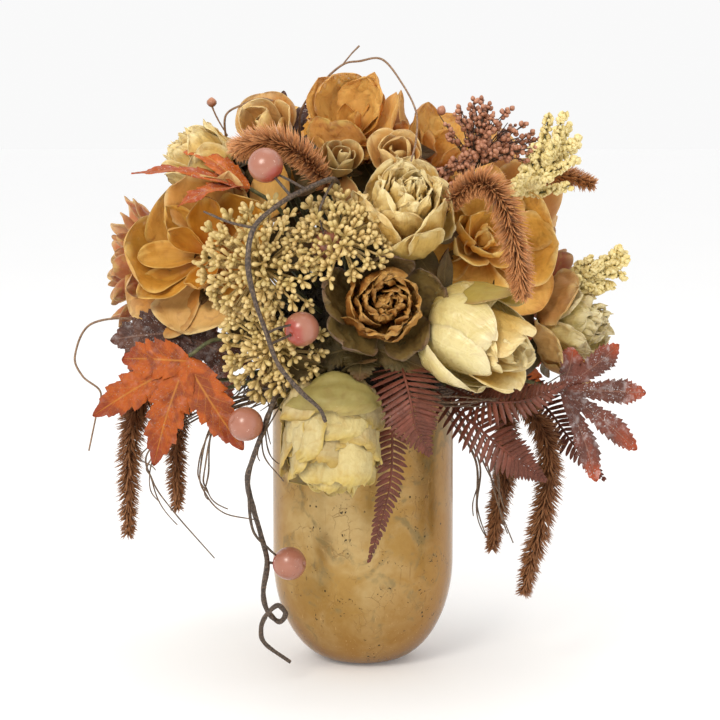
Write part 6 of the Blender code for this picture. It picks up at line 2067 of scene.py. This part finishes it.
LEAVES = (
    Leaf("maple_leaf_orange", (-92, -70, 176), ((-142, -62, 146), (-109, -76, 122), (-62, -80, 131),
         (-126, -60, 176)), 11.5, (-0.15, -1, 0.25), "orange_leaves", Finish.ORANGE_LEAF),
    Leaf("maple_leaf_brown", (-98, -46, 188), ((-134, -46, 184), (-124, -34, 190), (-124, -42, 160),
         (-94, -42, 166), (-58, -44, 170)), 11, (-0.4, -0.9, 0.3), "frosted_brown_leaves",
         Finish.FROSTED_LEAF),
    Leaf("maple_leaf_upper_left", (-62, -42, 264), ((-122, -40, 272), (-98, -14, 284), (-96, -64, 256)), 9,
         (-0.05, -0.2, 1.0), "orange_leaves", Finish.ROSY_LEAF),
    Leaf("maple_leaf_top", (-46, 6, 282), ((-43, 4, 314), (-60, 2, 304), (-30, 4, 306)), 7, (-0.1, -1, 0.3),
         "frosted_brown_leaves", Finish.FROSTED_LEAF),
    Leaf("buckeye_leaf_right", (104, -52, 158), ((136, -44, 181), (150, -48, 156), (145, -52, 126),
         (123, -58, 110), (111, -46, 180)), 7.4, (0.35, -0.9, 0.2), "frosted_brown_leaves",
         Finish.BUCKEYE_LEAF, 14, 1.5),
    Leaf("rose_leaves", (0, -82, 186), ((-24, -86, 180), (-2, -98, 170), (34, -90, 174),
         (-60, -76, 164)), 9.5, (0, -1, 0.4), "olive_leaves", Finish.OLIVE_LEAF, 12),
    Leaf("maple_leaf_back_orange", (84, 66, 168), ((128, 62, 150), (104, 84, 126), (62, 92, 128),
         (118, 50, 176)), 9.5, (0.4, 0.9, 0.2), "orange_leaves", Finish.ORANGE_LEAF),
    Leaf("buckeye_leaf_back", (-86, 66, 176), ((-132, 58, 190), (-138, 62, 160), (-118, 76, 130),
         (-80, 88, 124)), 9.5, (-0.4, 0.9, 0.2), "frosted_brown_leaves", Finish.BUCKEYE_LEAF, 14, 1.5),
)

FERNS = (
    Fern("fern_front", ((18, -70, 178), (20, -92, 175), (24, -102, 160), (27, -101, 146),
         (34, -95, 132)), 17, (0.1, -1, 0.3)),
    Fern("fern_hanging", ((6, -56, 164), (14, -70, 158), (15, -80, 138), (14, -82, 114), (9, -80, 92),
         (3, -76, 71)), 10, (0.5, -1, 0.1)),
    Fern("fern_right", ((46, -56, 160), (62, -76, 156), (84, -84, 158), (103, -82, 166)), 13,
         (0.1, -1, 0.5)),
    Fern("fern_right_low", ((40, -52, 156), (56, -68, 144), (72, -74, 131), (84, -72, 122),
         (95, -68, 113)), 14, (0.1, -1, 0.4)),
    Fern("fern_far_right", ((80, -20, 160), (98, -34, 146), (112, -44, 128), (128, -50, 110)), 12,
         (0.2, -1, 0.4)),
    Fern("fern_back", ((20, 56, 160), (28, 84, 158), (32, 94, 138), (34, 92, 116), (36, 88, 98)), 16,
         (0.1, 1, 0.2)),
)

TAILS = (
    Tail("foxtail_arch", ((42, -68, 252), (49, -84, 264), (60, -97, 270), (70, -105, 260), (75, -109, 242),
         (78, -109, 227), (80, -107, 214)), 10.5),
    Tail("foxtail_upper_left", ((-16, -60, 262), (-25, -72, 276), (-34, -80, 285), (-46, -83, 290),
         (-57, -80, 289), (-65, -74, 285)), 11.0),
    Tail("foxtail_right", ((82, -14, 256), (98, -14, 268), (111, -14, 268), (124, -14, 264)), 7.5),
    Tail("foxtail_hang_left", ((-84, -34, 160), (-106, -40, 162), (-118, -44, 152), (-123, -46, 136),
         (-125, -46, 108), (-126, -44, 78)), 9.5, Finish.RUSSET),
    Tail("foxtail_hang_left_inner", ((-72, -44, 158), (-90, -50, 157), (-98, -52, 140), (-99, -52, 116),
         (-99, -50, 94)), 8.0, Finish.RUSSET),
    Tail("foxtail_hang_right_inner", ((62, -22, 158), (76, -28, 140), (78, -30, 116), (73, -30, 90),
         (70, -30, 67)), 8.5, Finish.RUSSET),
    Tail("foxtail_hang_right", ((66, -34, 158), (84, -41, 150), (96, -46, 134), (99, -49, 114),
         (96, -50, 92), (91, -50, 70), (86, -48, 47)), 9.5, Finish.RUSSET),
    Tail("foxtail_back_left", ((-66, 44, 232), (-92, 74, 252), (-108, 88, 240), (-112, 92, 216)), 8.0),
    Tail("foxtail_back_hang", ((58, 40, 158), (76, 60, 148), (82, 68, 124), (82, 68, 98),
         (78, 66, 74)), 8.0, Finish.RUSSET),
    Heather("heather_right", ((76, -30, 256), (88, -40, 267), (97, -42, 280), (106, -42, 293)), 8.0,
            Finish.HEATHER, "heather", 4.4),
    Heather("heather_right_low", ((100, -6, 212), (116, -14, 214), (128, -16, 217), (139, -17, 221)), 6.0,
            Finish.HEATHER, "heather", 4.4),
)

UMBELS = (
    Umbel("sedum_left", (-60, -101, 228), 33, (-0.35, -0.92, 0.1), CLUB, 1.2, 84, Finish.SEDUM,
          "cream_sedum"),
    Umbel("sedum_mid", (-12, -102, 249), 26, (-0.05, -0.85, 0.5), CLUB, 1.2, 58, Finish.SEDUM,
          "cream_sedum"),
    Umbel("sedum_low", (-50, -97, 179), 28, (-0.3, -0.92, -0.25), CLUB, 1.2, 62, Finish.SEDUM,
          "cream_sedum"),
    Umbel("sedum_back", (52, 92, 196), 26, (0.4, 0.9, 0.1), CLUB, 1.2, 54, Finish.SEDUM, "cream_sedum"),
    BeadSpray("bead_spray_right", (66, -34, 292), 27, (0.35, -0.25, 0.9), BEAD, 1.7, 0, Finish.BEADS,
              "rose_beads",
              tips=((50, -38, 303), (58, -38, 309), (66, -40, 307), (75, -40, 303), (84, -42, 297),
                    (91, -40, 289), (68, -48, 298), (80, -26, 296), (58, -26, 302), (44, -44, 296),
                    (86, -48, 284), (62, -52, 286), (50, -54, 276), (40, -52, 272), (36, -54, 262),
                    (46, -58, 262)),
              wires=((40, -40, 302), (50, -40, 304), (63, -40, 309), (76, -38, 298), (58, -44, 300))),
)

VINES = (
    Vine("vine_twig", ((-12, -62, 262), (-15, -84, 271), (-29, -98, 267), (-42, -108, 260),
         (-54, -116, 249), (-57, -121, 232), (-54, -121, 215), (-48, -120, 197), (-42, -119, 181),
         (-31, -116, 167), (-22, -113, 158), (-19, -111, 151)), 1.25,
         twigs=(((-54, -116, 249), (-66, -118, 252), (-79, -114, 257)),
                ((-29, -98, 267), (-38, -98, 272), (-46, -98, 276)),
                ((-48, -120, 197), (-42, -114, 199), (-35, -108, 200)),
                ((-15, -84, 271), (-22, -92, 256), (-20, -94, 244))),
         berries=((-49, -97, 279), (-31, -103, 197), (-18, -86, 237))),
    Vine("vine_trailing", ((-30, -56, 166), (-40, -76, 170), (-45, -86, 160), (-50, -90, 146),
         (-56, -86, 130), (-60, -78, 115), (-58, -70, 100), (-54, -64, 83), (-51, -60, 67), (-53, -60, 51),
         (-51, -60, 41), (-45, -61, 35), (-41, -65, 40), (-45, -70, 46), (-51, -70, 41), (-54, -68, 33),
         (-52, -65, 24), (-39, -58, 12)), 1.4,
         twigs=(((-60, -78, 115), (-58, -72, 88), (-50, -66, 76), (-44, -64, 70)),
                ((-50, -90, 146), (-54, -92, 148), (-58, -92, 148))),
         berries=((-39, -63, 67), (-60, -94, 147))),
    Vine("tendril_left", ((-96, -8, 178), (-120, -24, 192), (-146, -26, 190), (-155, -26, 173),
         (-151, -28, 162), (-141, -32, 154), (-143, -36, 142), (-147, -38, 123)), 0.6,
         finish=Finish.TENDRIL),
    Vine("tendril_top_left", ((-64, -10, 262), (-72, -4, 280), (-74, -12, 300), (-64, -15, 307),
         (-55, -15, 310), (-48, -15, 309)), 0.6, twigs=(((-73, -8, 290), (-78, -12, 299), (-81, -14, 306)),),
         berries=((-81, -15, 308),), finish=Finish.TENDRIL),
    Vine("tendril_top", ((-30, -4, 262), (-34, -8, 300), (-22, -16, 318), (-11, -20, 328), (-2, -24, 330),
         (10, -32, 331), (20, -48, 319), (27, -64, 305), (27, -78, 292), (24, -96, 281)), 0.6,
         twigs=(((-11, -20, 328), (-6, -16, 334), (-2, -14, 338)),), finish=Finish.TENDRIL),
)

NEST_STRANDS = (
    ((-50, -52, 158), (-84, -66, 150), (-112, -64, 128), (-111, -60, 111), (-101, -58, 95), (-79, -54, 68)),
    ((-46, -54, 156), (-76, -72, 146), (-85, -70, 118), (-82, -66, 104), (-73, -66, 95), (-56, -66, 91)),
    ((46, -48, 152), (62, -44, 118), (62, -30, 90), (70, -26, 66)),
    ((55, -44, 152), (66, -52, 118), (72, -54, 96), (80, -54, 76)),
    ((-38, -58, 156), (-50, -70, 148), (-52, -72, 128), (-42, -66, 112)),
    ((20, -62, 156), (48, -80, 156), (84, -74, 160), (108, -52, 168)),
)


def dress(item: bpy.types.Object, node: str, slot: str) -> None:
    """Let a piece stand for a node and ride on the body.

    Args:
        item: The piece.
        node: The node that it replaces.
        slot: The material slot of the piece; not used.
    """
    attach(item, "root")
    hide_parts(node)
    LOG.info("%s: %d faces", item.name, len(item.data.polygons))


def main() -> None:
    """Build the studio and every piece of the centrepiece."""
    logging.basicConfig(level=logging.INFO, format="%(name)s: %(message)s")
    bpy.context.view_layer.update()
    Studio().build()
    dress(Vase().build(), "vase", "mercury_glass")
    dress(Foam().build(), "foam", "floral_foam")
    dress(Nest(NEST_STRANDS).build(), "nest", "nest_twigs")
    woody = [vine for vine in VINES if vine.woody()]
    thin = [vine for vine in VINES if not vine.woody()]
    pieces: list[Bloom | Vine | Umbel | Tail | Leaf | Fern] = [
        *BLOOMS, *woody, *UMBELS, *TAILS, *thin, *LEAVES, *FERNS]
    stems = [Stem(piece) for piece in pieces]
    spread(stems)
    balls = [(bloom.name, np.array(bloom.centre, float), bloom.size * 0.8) for bloom in BLOOMS]
    for stem in stems:
        piece = stem.piece
        mould = Mould(piece.name)
        mould.tube(stem.course(balls), (piece.stem_radius,) * 2, 8, piece.stem_finish)
        piece.grow(mould)
        dress(mould.cast(f"{piece.name}_dressed"), piece.name, piece.record_slot)


if __name__ == "__main__":
    main()
